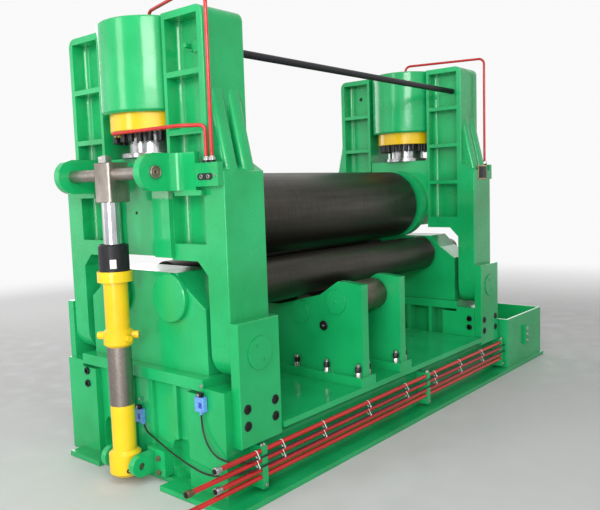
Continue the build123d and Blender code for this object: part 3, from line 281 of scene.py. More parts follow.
# Paints: usual, darkest and lightest tone
GREEN = (rgb(0.010, 0.41, 0.125), rgb(0.005, 0.33, 0.090), rgb(0.020, 0.49, 0.165))
YELLOW = (rgb(0.88, 0.57, 0.012), rgb(0.80, 0.46, 0.008), rgb(0.94, 0.66, 0.03))
RED = (rgb(0.56, 0.018, 0.018), rgb(0.44, 0.010, 0.010), rgb(0.66, 0.035, 0.030))
KEEPER_PATCH_Z = 1.605
KEEPER_PATCH = rgb(0.24, 0.48, 0.30)
green_cast = enamel("green_cast", *GREEN, rough=0.22, cast=0.12)
green_plate = enamel("green_plate", *GREEN, rough=0.17)
green_keeper = enamel("green_keeper", *GREEN, patch=(KEEPER_PATCH_Z, KEEPER_PATCH))
yellow = enamel("yellow_enamel", *YELLOW, shade_and_dirt=0.3)
red = enamel("red_enamel", *RED, shade_and_dirt=0.3)

# Metals: polished and dull tone, roughness, and the stretch of the marks in X, Y and Z
ROUND_X, ALONG_Z, EVEN = (1.0, 0.04, 0.04), (1.0, 1.0, 0.05), (1, 1, 1)
roll_steel = metal("roll_steel", rgb(0.105, 0.096, 0.082), rgb(0.036, 0.031, 0.024), 0.36,
                   ROUND_X, fine=160.0, patina=0.7, bands=(0.12, 1.6, 1.6))
idler_steel = metal("idler_steel", rgb(0.23, 0.205, 0.165), rgb(0.09, 0.072, 0.052), 0.36,
                    ROUND_X, fine=160.0, patina=0.8, bands=(0.3, 1.6, 1.6))
chrome = metal("chrome", rgb(0.74, 0.74, 0.77), rgb(0.52, 0.52, 0.55), 0.12,
               (1.0, 1.0, 0.02), fine=200.0, patina=0.6, scratches=0.015)
dull_chrome = metal("dull_chrome", rgb(0.56, 0.56, 0.57), rgb(0.14, 0.14, 0.14), 0.2,
                    (1.0, 1.0, 0.3), fine=90.0, scratches=0.05, bands=(2.5, 2.5, 2.5))
brushed = metal("brushed_steel", rgb(0.50, 0.45, 0.41), rgb(0.26, 0.22, 0.185), 0.34,
                ALONG_Z, fine=180.0, patina=0.7)
worn_steel = metal("worn_steel", rgb(0.40, 0.28, 0.22), rgb(0.17, 0.105, 0.075), 0.42,
                   EVEN, fine=300.0, patina=0.8, shine=0.7)
bare_tube = metal("bare_tube", rgb(0.40, 0.355, 0.325), rgb(0.17, 0.14, 0.12), 0.40,
                  (0.35, 0.35, 1.0), fine=190.0, patina=0.9, scratches=0.2, bands=(2.5, 2.5, 0.5))
zinc = metal("zinc_plate", rgb(0.62, 0.62, 0.61), rgb(0.38, 0.37, 0.35), 0.28,
             EVEN, fine=120.0, patina=0.7)
bronze = metal("bronze", rgb(0.30, 0.20, 0.11), rgb(0.10, 0.07, 0.05), 0.38,
               EVEN, fine=120.0, patina=0.8)
gilt = metal("gilt_frame", rgb(0.62, 0.42, 0.20), rgb(0.36, 0.22, 0.10), 0.34,
             EVEN, fine=160.0, patina=0.7)
rusty_bolt = metal("rusty_bolt", rgb(0.24, 0.20, 0.12), rgb(0.10, 0.115, 0.06), 0.5,
                   EVEN, fine=200.0, patina=0.8, shine=0.5)

# Blacks, plastics and the blank plates
black_satin = plain("black_satin", rgb(0.014, 0.014, 0.017), 0.42, gloss=0.25)
black_oxide = plain("black_oxide", rgb(0.010, 0.010, 0.011), 0.30, gloss=0.25)
rubber = plain("cable_rubber", rgb(0.012, 0.012, 0.013), 0.38, coat=0.15, gloss=0.3)
blue = plain("blue_plastic", rgb(0.13, 0.33, 0.76), 0.38, coat=0.2)
blue_dark = plain("blue_window", rgb(0.012, 0.07, 0.42), 0.25, coat=0.4)
white_nylon = plain("white_nylon", rgb(0.80, 0.79, 0.78), 0.45)
bare_panel = plain("bare_panel", rgb(0.74, 0.74, 0.76), 0.42, scale=140.0, vary=0.1)
# Flat near-black that paints the shade inside holes and recesses
painted_bore_shade = plain("painted_bore_shade", rgb(0.010, 0.014, 0.012), 0.8)

# What each CAD node is made of; the rest is green plate
MATERIAL_OF = {
    "near_gland_ring": yellow, "far_gland_ring": yellow, "tip_barrel": yellow,
    "near_piston_rod": dull_chrome, "far_piston_rod": dull_chrome, "tip_rod": chrome,
    "top_roll": roll_steel, "bottom_roll_front": roll_steel, "bottom_roll_rear": roll_steel,
    "idler_front_inner": idler_steel, "idler_front_outer": idler_steel,
    "idler_rear_inner": idler_steel, "idler_rear_outer": idler_steel,
    "tip_crosshead": brushed, "cross_shaft": brushed,
    "tie_bar": black_satin, "tip_gland": black_satin,
    "base_pipes": red, "near_pipes": red, "far_pipe": red,
    "limit_switches": blue,
    "near_housing": green_cast, "far_housing": green_cast,
    "near_keepers": green_keeper, "far_keepers": green_keeper,
}
for name, obj in nodes.items():
    obj.data.materials.clear()
    obj.data.materials.append(MATERIAL_OF.get(name, green_plate))

# Camera at the photograph's place
CAMERA_PLACE = (-4.0257, -3.2867, 1.6460)
YAW, PITCH, ROLL = math.radians(40.106), math.radians(-5.569), math.radians(-1.842)
SENSOR_MM, LENS_MM = 36.0, 41.44
ahead = Vector((math.cos(YAW) * math.cos(PITCH), math.sin(YAW) * math.cos(PITCH), math.sin(PITCH)))
flat_right = Vector((math.sin(YAW), -math.cos(YAW), 0))
flat_up = flat_right.cross(ahead)
right = flat_right * math.cos(ROLL) + flat_up * math.sin(ROLL)
up = flat_up * math.cos(ROLL) - flat_right * math.sin(ROLL)
cam_data = bpy.data.cameras.new("photo_camera")
cam_data.sensor_width = SENSOR_MM
cam_data.lens = LENS_MM
cam = bpy.data.objects.new("photo_camera", cam_data)
bpy.context.scene.collection.objects.link(cam)
turn = Matrix((right, up, -ahead)).transposed().to_4x4()
cam.matrix_world = Matrix.Translation(CAMERA_PLACE) @ turn
bpy.context.scene.camera = cam

# Directions: the machine's near end looks along -X, its front along -Y
X, Y, Z = 0, 1, 2
UP, DOWN = (0, 0, 1), (0, 0, -1)
TO_NEAR, TO_FAR, TO_FRONT = (-1, 0, 0), (1, 0, 0), (0, -1, 0)
SIDES = (-1, 1)

# Most small parts start this far inside the face that they sit on
SINK = 0.001


def middle(node, axis):
    low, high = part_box(node)
    return (low[axis] + high[axis]) / 2


def compass(deg):
    return Vector((math.cos(math.radians(deg)), math.sin(math.radians(deg)), 0))


# Mesh builders for the small parts
ROUND, HEX = False, True
CORNERS = 24


def ring_points(radius, height, shape=ROUND):
    points = []
    for i in range(CORNERS):
        angle = 2 * math.pi * i / CORNERS
        reach = radius
        if shape is HEX:
            reach *= math.cos(math.pi / 6) / math.cos(angle % (math.pi / 3) - math.pi / 6)
        points.append(Vector((reach * math.cos(angle), reach * math.sin(angle), height)))
    return points


def skin(bm, a, b):
    for i in range(len(a)):
        j = (i + 1) % len(a)
        bm.faces.new((a[i], a[j], b[j], b[i]))


# Side faces between neighbouring loops, and a lid on the first and the last one
def closed_skin(bm, loops):
    for a, b in zip(loops, loops[1:]):
        skin(bm, a, b)
    bm.faces.new(loops[0])
    bm.faces.new(loops[-1])


# Rings of (radius, height, shape) from the seat outwards; a tube closes on itself
def turned(bm, place, axis, rings, tube=False):
    stand = Vector(axis).to_track_quat("Z", "X").to_matrix().to_4x4()
    put = Matrix.Translation(place) @ stand
    loops = [[bm.verts.new(put @ p) for p in ring_points(*ring)] for ring in rings]
    if not tube:
        closed_skin(bm, loops)
        return
    for a, b in zip(loops, loops[1:] + loops[:1]):
        skin(bm, a, b)


def block(bm, low, high, edge):
    verts = bmesh.ops.create_cube(bm, size=1.0)["verts"]
    low, high = Vector(low), Vector(high)
    for v in verts:
        v.co = Vector(lo + (c + 0.5) * (hi - lo) for c, lo, hi in zip(v.co, low, high))
    edges = list({e for v in verts for e in v.link_edges})
    bmesh.ops.bevel(bm, geom=edges, offset=edge, segments=2, profile=0.5, affect="EDGES")


# Block with its corners given from a place
def block_at(bm, place, low, high, edge):
    block(bm, Vector(place) + Vector(low), Vector(place) + Vector(high), edge)


# Upright block whose four upright edges have a larger radius than the rest
def upright_block(bm, low, high, corner, edge, steps=5):
    loops = []
    for inset, z in ((edge, low[Z]), (0, low[Z] + edge), (0, high[Z] - edge), (edge, high[Z])):
        loop = []
        for quarter, (right_side, back_side) in enumerate(((1, 1), (0, 1), (0, 0), (1, 0))):
            x_mid = high[X] - corner if right_side else low[X] + corner
            y_mid = high[Y] - corner if back_side else low[Y] + corner
            for i in range(steps + 1):
                angle = math.pi / 2 * (quarter + i / steps)
                loop.append(bm.verts.new((x_mid + (corner - inset) * math.cos(angle),
                                          y_mid + (corner - inset) * math.sin(angle), z)))
        loops.append(loop)
    closed_skin(bm, loops)


# Flat plate with this outline in Y and Z, from a face that looks along -X outwards
def plate_on_x(bm, x, thick, outline):
    closed_skin(bm, [[bm.verts.new((at, y, z)) for y, z in outline] for at in (x, x - thick)])


def obround(y_mid, z_mid, half_length, half_height, steps=10):
    points = []
    for side in (1, -1):
        for i in range(steps + 1):
            angle = math.pi * (i / steps - 0.5)
            reach = half_length - half_height + half_height * math.cos(angle)
            points.append((y_mid + side * reach, z_mid + side * half_height * math.sin(angle)))
    return points


# Piece of a shell round a vertical axis, from one angle to another
def arc_plate(bm, x, y, inner, outer, low, high, start_deg, end_deg, steps=12):
    loops = []
    for i in range(steps + 1):
        out = compass(start_deg + (end_deg - start_deg) * i / steps)
        loops.append([bm.verts.new((x + r * out.x, y + r * out.y, z))
                      for r, z in ((inner, low), (outer, low), (outer, high), (inner, high))])
    closed_skin(bm, loops)


# Strap pulled round circles of (y, z, radius) at one x
def strap(bm, x, width, thick, circles, steps=40):
    loops = []
    for side, extra in ((-1, 0), (-1, thick), (1, thick), (1, 0)):
        loop = []
        for i in range(steps):
            angle = 2 * math.pi * i / steps
            c, s = math.cos(angle), math.sin(angle)
            y, z, r = max(circles, key=lambda k: k[0] * c + k[1] * s + k[2])
            loop.append(bm.verts.new((x + side * width / 2, y + (r + extra) * c, z + (r + extra) * s)))
        loops.append(loop)
    for a, b in zip(loops, loops[1:] + loops[:1]):
        skin(bm, a, b)


# Edges sharper than this stay sharp in the shading
SHARP = math.radians(32)


def piece(name, bm, material, body):
    bmesh.ops.recalc_face_normals(bm, faces=bm.faces)
    mesh = bpy.data.meshes.new(name)
    bm.to_mesh(mesh)
    bm.free()
    mesh.shade_smooth()
    mesh.set_sharp_from_angle(angle=SHARP)
    mesh.materials.append(material)
    obj = bpy.data.objects.new(name, mesh)
    bpy.context.scene.collection.objects.link(obj)
    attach(obj, body)
    return obj


# Round head with a hexagon socket: shares of its radius
SOCKET_SHARE, SOCKET_DEPTH, SOCKET_EDGE = 0.56, 0.9, 0.08


def socket_screw(bm, place, axis, radius, height):
    edge = SOCKET_EDGE * radius
    socket_r = SOCKET_SHARE * radius
    turned(bm, place, axis, [
        (radius, 0), (radius, height - edge), (radius - edge, height), (socket_r, height, HEX),
        (socket_r, height - SOCKET_DEPTH * radius, HEX),
    ])


# Hexagon head with a round crown and a shallow dish on top: shares of its radius and height
CROWN_R, CROWN_START = 0.84, 0.86
DISH_RIM_R, DISH_FLOOR_R, DISH_FLOOR = 0.5, 0.46, 0.97


def hex_head(bm, place, axis, radius, height):
    turned(bm, place, axis, [
        (radius, 0, HEX), (radius, height * CROWN_START, HEX), (radius * CROWN_R, height),
        (radius * DISH_RIM_R, height), (radius * DISH_FLOOR_R, height * DISH_FLOOR),
    ])


# Screws under the two main cylinder rings, without the one that the near port covers
NEAR_X, FAR_X = middle("near_gland_ring", X), middle("far_gland_ring", X)
RING_LOW_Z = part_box("far_gland_ring")[0][Z]
RING_SCREWS = 24
RING_SCREW_CIRCLE = 0.219
RING_SCREW_R, RING_SCREW_H = 0.018, 0.060
PORT_SCREW = 11
for end, x_mid, body in (("near", NEAR_X, "tip_housing"), ("far", FAR_X, "frame")):
    bm = bmesh.new()
    for i in range(RING_SCREWS):
        if end == "near" and i == PORT_SCREW:
            continue
        place = Vector((x_mid, 0, RING_LOW_Z)) + RING_SCREW_CIRCLE * compass(360 * i / RING_SCREWS)
        socket_screw(bm, place, DOWN, RING_SCREW_R, RING_SCREW_H)
    piece(end + "_ring_screws", bm, black_oxide, body)

# Hold-down studs on the foot plates of the two stands
STAND_FOOT_T = 0.060
FOOT_TOP_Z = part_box("support_stands")[0][Z] + STAND_FOOT_T
STUD_XS = (-0.472, -0.362, -0.022, 0.087)
STUD_YS = (0.237, 0.495, 0.752)
NUT_R, NUT_H = 0.0185, 0.030
STUD_HEAD_R, STUD_HEAD_H = 0.021, 0.036
STUD_TIP_R, STUD_POINT_R, STUD_TIP_H = 0.014, 0.0098, 0.018
STUD_SINK, STUD_GAP, STUD_CHAMFER = 0.002, 0.004, 0.003
STUD_HEAD = [
    (STUD_TIP_R, -STUD_SINK), (STUD_TIP_R, STUD_GAP), (STUD_HEAD_R, STUD_GAP, HEX),
    (STUD_HEAD_R, STUD_HEAD_H - STUD_CHAMFER, HEX), (STUD_HEAD_R * CROWN_R, STUD_HEAD_H),
]
STUD_TIP = [
    (STUD_TIP_R, -STUD_SINK), (STUD_TIP_R, STUD_TIP_H - STUD_CHAMFER), (STUD_POINT_R, STUD_TIP_H),
]
nuts, heads, tips = bmesh.new(), bmesh.new(), bmesh.new()
for x in STUD_XS:
    for y in STUD_YS:
        for side in SIDES:
            seat = Vector((x, side * y, FOOT_TOP_Z))
            hex_head(nuts, seat, UP, NUT_R, NUT_H)
            seat.z += NUT_H
            turned(heads, seat, UP, STUD_HEAD)
            seat.z += STUD_HEAD_H
            turned(tips, seat, UP, STUD_TIP)
piece("stand_nuts", nuts, zinc, "frame")
piece("stand_stud_heads", heads, black_oxide, "frame")
piece("stand_stud_tips", tips, zinc, "frame")

# One large black screw with a bright centre on the face of each stand
STAND_XS = (-0.450, 0.0)
STAND_SCREW_Y, STAND_SCREW_Z = 0.464, 0.724
STAND_SCREW_R = 0.033
STAND_SCREW = [(STAND_SCREW_R, 0), (STAND_SCREW_R, 0.006), (STAND_SCREW_R - 0.003, 0.009),
               (0.012, 0.009), (0.011, 0.004)]
STAND_SCREW_CENTRE = [(0.0085, 0.003), (0.0085, 0.009), (0.005, 0.011)]
screws, centres = bmesh.new(), bmesh.new()
for x in STAND_XS:
    for side in SIDES:
        place = (x, side * STAND_SCREW_Y, STAND_SCREW_Z)
        turned(screws, place, TO_NEAR, STAND_SCREW)
        turned(centres, place, TO_NEAR, STAND_SCREW_CENTRE)
piece("stand_face_screws", screws, black_oxide, "frame")
piece("stand_screw_centres", centres, zinc, "frame")

# Small domed centres on the covers of the idler shafts
COVER_NEAR_X, COVER_FAR_X = (corner[X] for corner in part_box("idler_covers"))
COVER_CENTRE = [(0.009, -SINK), (0.009, 0.002), (0.006, 0.004)]
bm = bmesh.new()
for idler in ("idler_front_inner", "idler_rear_inner", "idler_front_outer", "idler_rear_outer"):
    for x, outward in ((COVER_NEAR_X, TO_NEAR), (COVER_FAR_X, TO_FAR)):
        turned(bm, (x, middle(idler, Y), middle(idler, Z)), outward, COVER_CENTRE)
piece("idler_cover_centres", bm, green_plate, "frame")

# Four cap screws in each pivot block, front and back, at both ends
PIN_COVER_PROUD = 0.007
BLOCK_FACE_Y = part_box("near_pivot_pins")[1][Y] - PIN_COVER_PROUD
BLOCK_SCREW_XS = (1.523, 1.307)
BLOCK_SCREW_ZS = (0.497, 0.405)
BLOCK_SCREW_R, BLOCK_SCREW_H = 0.027, 0.004
bm = bmesh.new()
for x in BLOCK_SCREW_XS:
    for z in BLOCK_SCREW_ZS:
        for end in SIDES:
            for side in SIDES:
                place = (end * x, side * BLOCK_FACE_Y, z)
                socket_screw(bm, place, (0, side, 0), BLOCK_SCREW_R, BLOCK_SCREW_H)
piece("pivot_block_screws", bm, black_oxide, "frame")

# Two black screws in the near end wall, on the back half only, and two in each far post
END_WALL_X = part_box("trunnion_lugs")[1][X]
END_WALL_Y, END_WALL_ZS = 0.517, (0.538, 0.457)
FAR_POST_X, FAR_POST_Y, FAR_POST_ZS = 1.245, 0.682, (0.508, 0.436)
WALL_SCREW_R, WALL_SCREW_H = 0.023, 0.012
bm = bmesh.new()
for z in END_WALL_ZS:
    socket_screw(bm, (END_WALL_X, END_WALL_Y, z), TO_NEAR, WALL_SCREW_R, WALL_SCREW_H)
for z in FAR_POST_ZS:
    for side in SIDES:
        socket_screw(bm, (FAR_POST_X, side * FAR_POST_Y, z), TO_NEAR, WALL_SCREW_R, WALL_SCREW_H)
piece("end_wall_screws", bm, black_oxide, "frame")

# Rusty bolts in the feet of the trunnion lugs
LUG_FOOT_T = 0.024
LUG_BOLT_Y = 0.190
LUG_BOLT_ZS = (0.137, 0.054)
LUG_BOLT_R, LUG_BOLT_H = 0.017, 0.014
bm = bmesh.new()
for z in LUG_BOLT_ZS:
    for side in SIDES:
        place = (END_WALL_X - LUG_FOOT_T, side * LUG_BOLT_Y, z)
        hex_head(bm, place, TO_NEAR, LUG_BOLT_R, LUG_BOLT_H)
piece("lug_bolts", bm, rusty_bolt, "frame")

# Dark screw in the foot of the tipping barrel
TIP_X = middle("cross_shaft", X)
FOOT_R = 0.092
FOOT_SCREW_DEG, FOOT_SCREW_Z = 243.6, 0.080
FOOT_SCREW_R, FOOT_SCREW_H = 0.012, 0.008
bm = bmesh.new()
out = compass(FOOT_SCREW_DEG)
place = Vector((TIP_X, 0, FOOT_SCREW_Z)) + out * (FOOT_R - SINK)
socket_screw(bm, place, out, FOOT_SCREW_R, FOOT_SCREW_H)
piece("barrel_foot_screw", bm, black_oxide, "tip_barrel")

# Oil ports on both sides of the barrel's collar, each with a plug
PORT_Z, PORT_DEGS = 0.848, (310, 130)
PORT_START = 0.070
PORT_LENGTH = 0.046
PORT_BOSS = [(0.024, 0), (0.022, 0.040), (0.019, PORT_LENGTH), (0.019, PORT_LENGTH + SINK)]
PORT_PLUG_R, PORT_PLUG_H = 0.010, 0.005
ports, plugs = bmesh.new(), bmesh.new()
for deg in PORT_DEGS:
    out = compass(deg)
    place = Vector((TIP_X, 0, PORT_Z)) + out * PORT_START
    turned(ports, place, out, PORT_BOSS)
    socket_screw(plugs, place + out * PORT_LENGTH, out, PORT_PLUG_R, PORT_PLUG_H)
piece("collar_ports", ports, yellow, "tip_barrel")
piece("collar_port_plugs", plugs, worn_steel, "tip_barrel")

# Dark ends of the barrel's trunnions, seen through the holes in the lugs
TRUNNION_END_Y, TRUNNION_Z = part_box("tip_barrel")[1][Y], 0.110
TRUNNION_END = [(0.0215, -SINK), (0.0215, 0.001), (0.018, 0.002)]
bm = bmesh.new()
for side in SIDES:
    turned(bm, (TIP_X, side * TRUNNION_END_Y, TRUNNION_Z), (0, side, 0), TRUNNION_END)
piece("trunnion_ends", bm, worn_steel, "tip_barrel")

# Unpainted length of the tipping barrel
SLEEVE_LOW, SLEEVE_HIGH = 0.447, 0.786
SLEEVE_R, SLEEVE_T = 0.0687, 0.002
bm = bmesh.new()
turned(bm, (TIP_X, 0, 0), UP, [
    (SLEEVE_R - SLEEVE_T, SLEEVE_LOW), (SLEEVE_R, SLEEVE_LOW), (SLEEVE_R, SLEEVE_HIGH),
    (SLEEVE_R - SLEEVE_T, SLEEVE_HIGH),
], tube=True)
piece("barrel_bare_length", bm, bare_tube, "tip_barrel")

# Blank plate on the black gland
GLAND_R = TIP_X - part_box("tip_gland")[0][X]
PLATE_ZS, PLATE_DEGS = (1.234, 1.284), (219, 243)
bm = bmesh.new()
arc_plate(bm, TIP_X, 0, GLAND_R - SINK, GLAND_R + SINK, *PLATE_ZS, *PLATE_DEGS)
piece("gland_plate", bm, bare_panel, "tip_barrel")

# Crosshead with its rounded upright edges, and the nut and thread end on top of it
CROSSHEAD_LOW, CROSSHEAD_HIGH = (-1.8000, -0.070, 1.597), (-1.6590, 0.070, 1.816)
CROSSHEAD_CORNER, CROSSHEAD_EDGE = 0.016, 0.004
CROSSHEAD_NUT_X = -1.768
CROSSHEAD_NUT = [(0.039, 0, HEX), (0.039, 0.032, HEX), (0.033, 0.035), (0.021, 0.035), (0.021, 0.038),
                 (0.018, 0.040)]
bm = bmesh.new()
upright_block(bm, CROSSHEAD_LOW, CROSSHEAD_HIGH, CROSSHEAD_CORNER, CROSSHEAD_EDGE)
crosshead = piece("crosshead_block", bm, brushed, "tip_rod")
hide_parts("tip_crosshead")
bm = bmesh.new()
turned(bm, (CROSSHEAD_NUT_X, 0, CROSSHEAD_HIGH[Z] - SINK), UP, CROSSHEAD_NUT)
piece("crosshead_nut", bm, zinc, "tip_rod")

# Turned ends of the cross shaft: a bright rim round a dull grooved disc
SHAFT_END_Y, SHAFT_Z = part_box("cross_shaft")[1][Y], middle("cross_shaft", Z)
SHAFT_RIM = [(0.0280, -SINK), (0.0350, -SINK), (0.0350, 0.004), (0.0330, 0.006), (0.0290, 0.006),
             (0.0280, 0.004)]
SHAFT_DISC = [(0.0270, -SINK), (0.0270, 0.002), (0.0180, 0.002), (0.0170, 0.0045), (0.0095, 0.0045),
              (0.0080, 0.001), (0.0050, 0.000)]
rims, discs = bmesh.new(), bmesh.new()
for side in SIDES:
    place = (TIP_X, side * SHAFT_END_Y, SHAFT_Z)
    turned(rims, place, (0, side, 0), SHAFT_RIM, tube=True)
    turned(discs, place, (0, side, 0), SHAFT_DISC)
piece("cross_shaft_rims", rims, brushed, "tip_housing")
piece("cross_shaft_discs", discs, worn_steel, "tip_housing")

# Oil fittings: bright nut over a black collar that paints the shade of the hole where a pipe enters
COLLAR_R, COLLAR_TOP_R, COLLAR_H, COLLAR_CHAMFER = 0.0195, 0.016, 0.010, 0.002
FITTING_R, FITTING_CROWN_R, FITTING_TOP_R, FITTING_H = 0.0180, 0.0150, 0.0130, 0.022
FITTING_HEX, FITTING_CROWN = 0.7, 0.78
RING_COLLAR_H, RING_FITTING_H = 0.003, 0.006


def fitting(shade_collar_mesh, nut_mesh, place, axis, collar_h=COLLAR_H, nut_h=FITTING_H):
    # Black collar: painted shade of the hole round the pipe
    turned(shade_collar_mesh, place, axis, [
        (COLLAR_R, 0), (COLLAR_R, collar_h), (COLLAR_TOP_R, collar_h + COLLAR_CHAMFER),
    ])
    seat = Vector(place) + Vector(axis) * collar_h
    turned(nut_mesh, seat, axis, [
        (FITTING_R, 0, HEX), (FITTING_R, nut_h * FITTING_HEX, HEX),
        (FITTING_CROWN_R, nut_h * FITTING_CROWN), (FITTING_TOP_R, nut_h),
    ])


PAD_TOP_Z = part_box("far_pipe")[0][Z]
HOUSING_TOP_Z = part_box("far_housing")[1][Z]
LINE_X = 1.588
LINE_YS = (-0.668, -0.626)
FAR_LINE_Y = -0.665
RING_PORT = (-1.640, 0.060, 1.981)
shade_collars, fittings = bmesh.new(), bmesh.new()
for y in LINE_YS:
    fitting(shade_collars, fittings, (-LINE_X, y, PAD_TOP_Z), UP)
fitting(shade_collars, fittings, (NEAR_X, 0, HOUSING_TOP_Z), UP)
fitting(shade_collars, fittings, RING_PORT, TO_NEAR, RING_COLLAR_H, RING_FITTING_H)
far_shade_collars, far_fittings = bmesh.new(), bmesh.new()
fitting(far_shade_collars, far_fittings, (LINE_X, FAR_LINE_Y, PAD_TOP_Z), UP)
fitting(far_shade_collars, far_fittings, (FAR_X, 0, HOUSING_TOP_Z), UP)
piece("near_pipe_shade_collars", shade_collars, black_oxide, "tip_housing")
piece("near_pipe_nuts", fittings, zinc, "tip_housing")
piece("far_pipe_shade_collars", far_shade_collars, black_oxide, "frame")
piece("far_pipe_nuts", far_fittings, zinc, "frame")

# Thin dark sheet with painted shade standing for a long recess, with two bright screws in the face of
# the near pad, and a small one beside it
PAD_FACE_X = -1.603
RECESS_Y, RECESS_Z = -0.626, 1.718
RECESS_HALF_W, RECESS_HALF_H, RECESS_T = 0.058, 0.0175, 0.002
bm = bmesh.new()
plate_on_x(bm, PAD_FACE_X + SINK, RECESS_T, obround(RECESS_Y, RECESS_Z, RECESS_HALF_W, RECESS_HALF_H))
piece("pad_recess", bm, painted_bore_shade, "tip_housing")
PAD_SCREW_YS, PAD_SCREW_R, PAD_SCREW_H = (-0.600, -0.652), 0.0115, 0.006
SMALL_SCREW_Y, SMALL_SCREW_Z, SMALL_SCREW_R, SMALL_SCREW_H = -0.700, RECESS_Z + 0.004, 0.007, 0.004
bm = bmesh.new()
for y in PAD_SCREW_YS:
    socket_screw(bm, (PAD_FACE_X, y, RECESS_Z), TO_NEAR, PAD_SCREW_R, PAD_SCREW_H)
socket_screw(bm, (PAD_FACE_X, SMALL_SCREW_Y, SMALL_SCREW_Z), TO_NEAR, SMALL_SCREW_R, SMALL_SCREW_H)
piece("pad_screws", bm, zinc, "tip_housing")

# Green stud and flange in the pocket of the near housing, and a dark disc with painted shade for the
# open hole in the far one
POCKET_STUD_PLACE, POCKET_HOLE_PLACE = (-1.465, -0.430, 2.415), (1.365, 0.452, 2.441)
POCKET_STUD = [(0.027, -SINK, HEX), (0.027, 0.016, HEX), (0.023, 0.019), (0.0135, 0.019),
               (0.0135, 0.062), (0.011, 0.065)]
POCKET_HOLE = [(0.017, -SINK), (0.017, 0.001), (0.012, 0.0015)]
bm = bmesh.new()
turned(bm, POCKET_STUD_PLACE, TO_NEAR, POCKET_STUD)
piece("pocket_stud", bm, green_plate, "tip_housing")
# Dark disc: painted shade of the open hole
bm = bmesh.new()
turned(bm, POCKET_HOLE_PLACE, TO_NEAR, POCKET_HOLE)
piece("pocket_hole", bm, painted_bore_shade, "frame")

# Plugged oil hole in the near slider and grease nipple on the near pedestal
SLIDER_PLUG_PLACE, NIPPLE_PLACE = (-1.555, 0.024, 1.530), (-1.555, 0.125, 1.043)
SLIDER_PLUG = [(0.009, -SINK), (0.009, 0.002), (0.006, 0.003)]
NIPPLE = [(0.009, -SINK, HEX), (0.009, 0.006, HEX), (0.005, 0.008), (0.006, 0.012), (0.004, 0.017)]
bm = bmesh.new()
turned(bm, SLIDER_PLUG_PLACE, TO_NEAR, SLIDER_PLUG)
piece("slider_plug", bm, black_oxide, "near_slide")
bm = bmesh.new()
turned(bm, NIPPLE_PLACE, TO_NEAR, NIPPLE)
piece("grease_nipple", bm, zinc, "frame")

# Bare nameplate in a gilt frame on the far housing's front leg
LEG_FACE_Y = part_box("far_housing")[0][Y]
NAMEPLATE_XS, NAMEPLATE_ZS = (1.338, 1.500), (1.668, 1.785)
GILT_WIDTH = 0.010
GILT_PROUD, BLANK_PROUD = 0.003, 0.0042
GILT_EDGE, BLANK_EDGE = 0.001, 0.0005
bm = bmesh.new()
block(bm, (NAMEPLATE_XS[0], LEG_FACE_Y - GILT_PROUD, NAMEPLATE_ZS[0]),
      (NAMEPLATE_XS[1], LEG_FACE_Y, NAMEPLATE_ZS[1]), GILT_EDGE)
piece("nameplate_frame", bm, gilt, "frame")
bm = bmesh.new()
block(bm, (NAMEPLATE_XS[0] + GILT_WIDTH, LEG_FACE_Y - BLANK_PROUD, NAMEPLATE_ZS[0] + GILT_WIDTH),
      (NAMEPLATE_XS[1] - GILT_WIDTH, LEG_FACE_Y - SINK, NAMEPLATE_ZS[1] - GILT_WIDTH), BLANK_EDGE)
piece("nameplate_blank", bm, black_satin, "frame")

# Couplings on the open ends of the four base pipes, two of zinc and two of bronze, each with a plug
PIPE_Y, PIPE_R = -0.800, 0.0135
UPPER_PIPE_Z, LOWER_PIPE_Z = 0.253, 0.203
ZINC_ENDS = ((-1.787, UPPER_PIPE_Z), (-1.788, 0.149))
BRONZE_ENDS = ((-1.976, LOWER_PIPE_Z), (-2.010, 0.111))
COUPLING = [(0.0185, 0), (0.0215, 0.003, HEX), (0.0215, 0.024, HEX), (0.0180, 0.028), (0.0165, 0.040),
            (0.0140, 0.042)]
PIPE_PLUG = [(0.014, -SINK), (0.014, 0.004), (0.009, 0.006)]
PLUG_SINK = 0.0005
plugs = bmesh.new()
for tone, metal_used, ends in (("bright", zinc, ZINC_ENDS), ("dull", bronze, BRONZE_ENDS)):
    couplings = bmesh.new()
    for x, z in ends:
        turned(couplings, (x, PIPE_Y, z), TO_FAR, COUPLING)
        turned(plugs, (x + PLUG_SINK, PIPE_Y, z), TO_NEAR, PIPE_PLUG)
    piece("pipe_couplings_" + tone, couplings, metal_used, "frame")
piece("pipe_plugs", plugs, black_oxide, "frame")

# Screws that hold the pipe clamps
CLAMP_XS = (-1.436, 0.316, 1.600)
CLAMP_TOP_Y, CLAMP_TOP_Z, CLAMP_TOP_HALF_GAP = -0.8015, 0.280, 0.010
CLAMP_FRONT_Y, CLAMP_LOW_Z = -0.8175, 0.066
CLAMP_TOP_R, CLAMP_TOP_H = 0.0085, 0.010
CLAMP_FRONT_R, CLAMP_FRONT_H = 0.0105, 0.009
bm = bmesh.new()
for x in CLAMP_XS:
    for side in SIDES:
        place = (x + side * CLAMP_TOP_HALF_GAP, CLAMP_TOP_Y, CLAMP_TOP_Z)
        hex_head(bm, place, UP, CLAMP_TOP_R, CLAMP_TOP_H)
    hex_head(bm, (x, CLAMP_FRONT_Y, CLAMP_LOW_Z), TO_FRONT, CLAMP_FRONT_R, CLAMP_FRONT_H)
piece("clamp_screws", bm, zinc, "frame")

# Ports of the outlet block
OUTLET_X, OUTLET_ZS = 1.995, (0.205, 0.258, 0.311)
OUTLET_FACE_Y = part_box("pipe_clamps")[0][Y]
OUTLET = [(0.0170, 0, HEX), (0.0170, 0.010, HEX), (0.0140, 0.013), (0.0085, 0.013), (0.0080, 0.004)]
bm = bmesh.new()
for z in OUTLET_ZS:
    turned(bm, (OUTLET_X, OUTLET_FACE_Y + SINK, z), TO_FRONT, OUTLET)
piece("outlet_ports", bm, zinc, "frame")

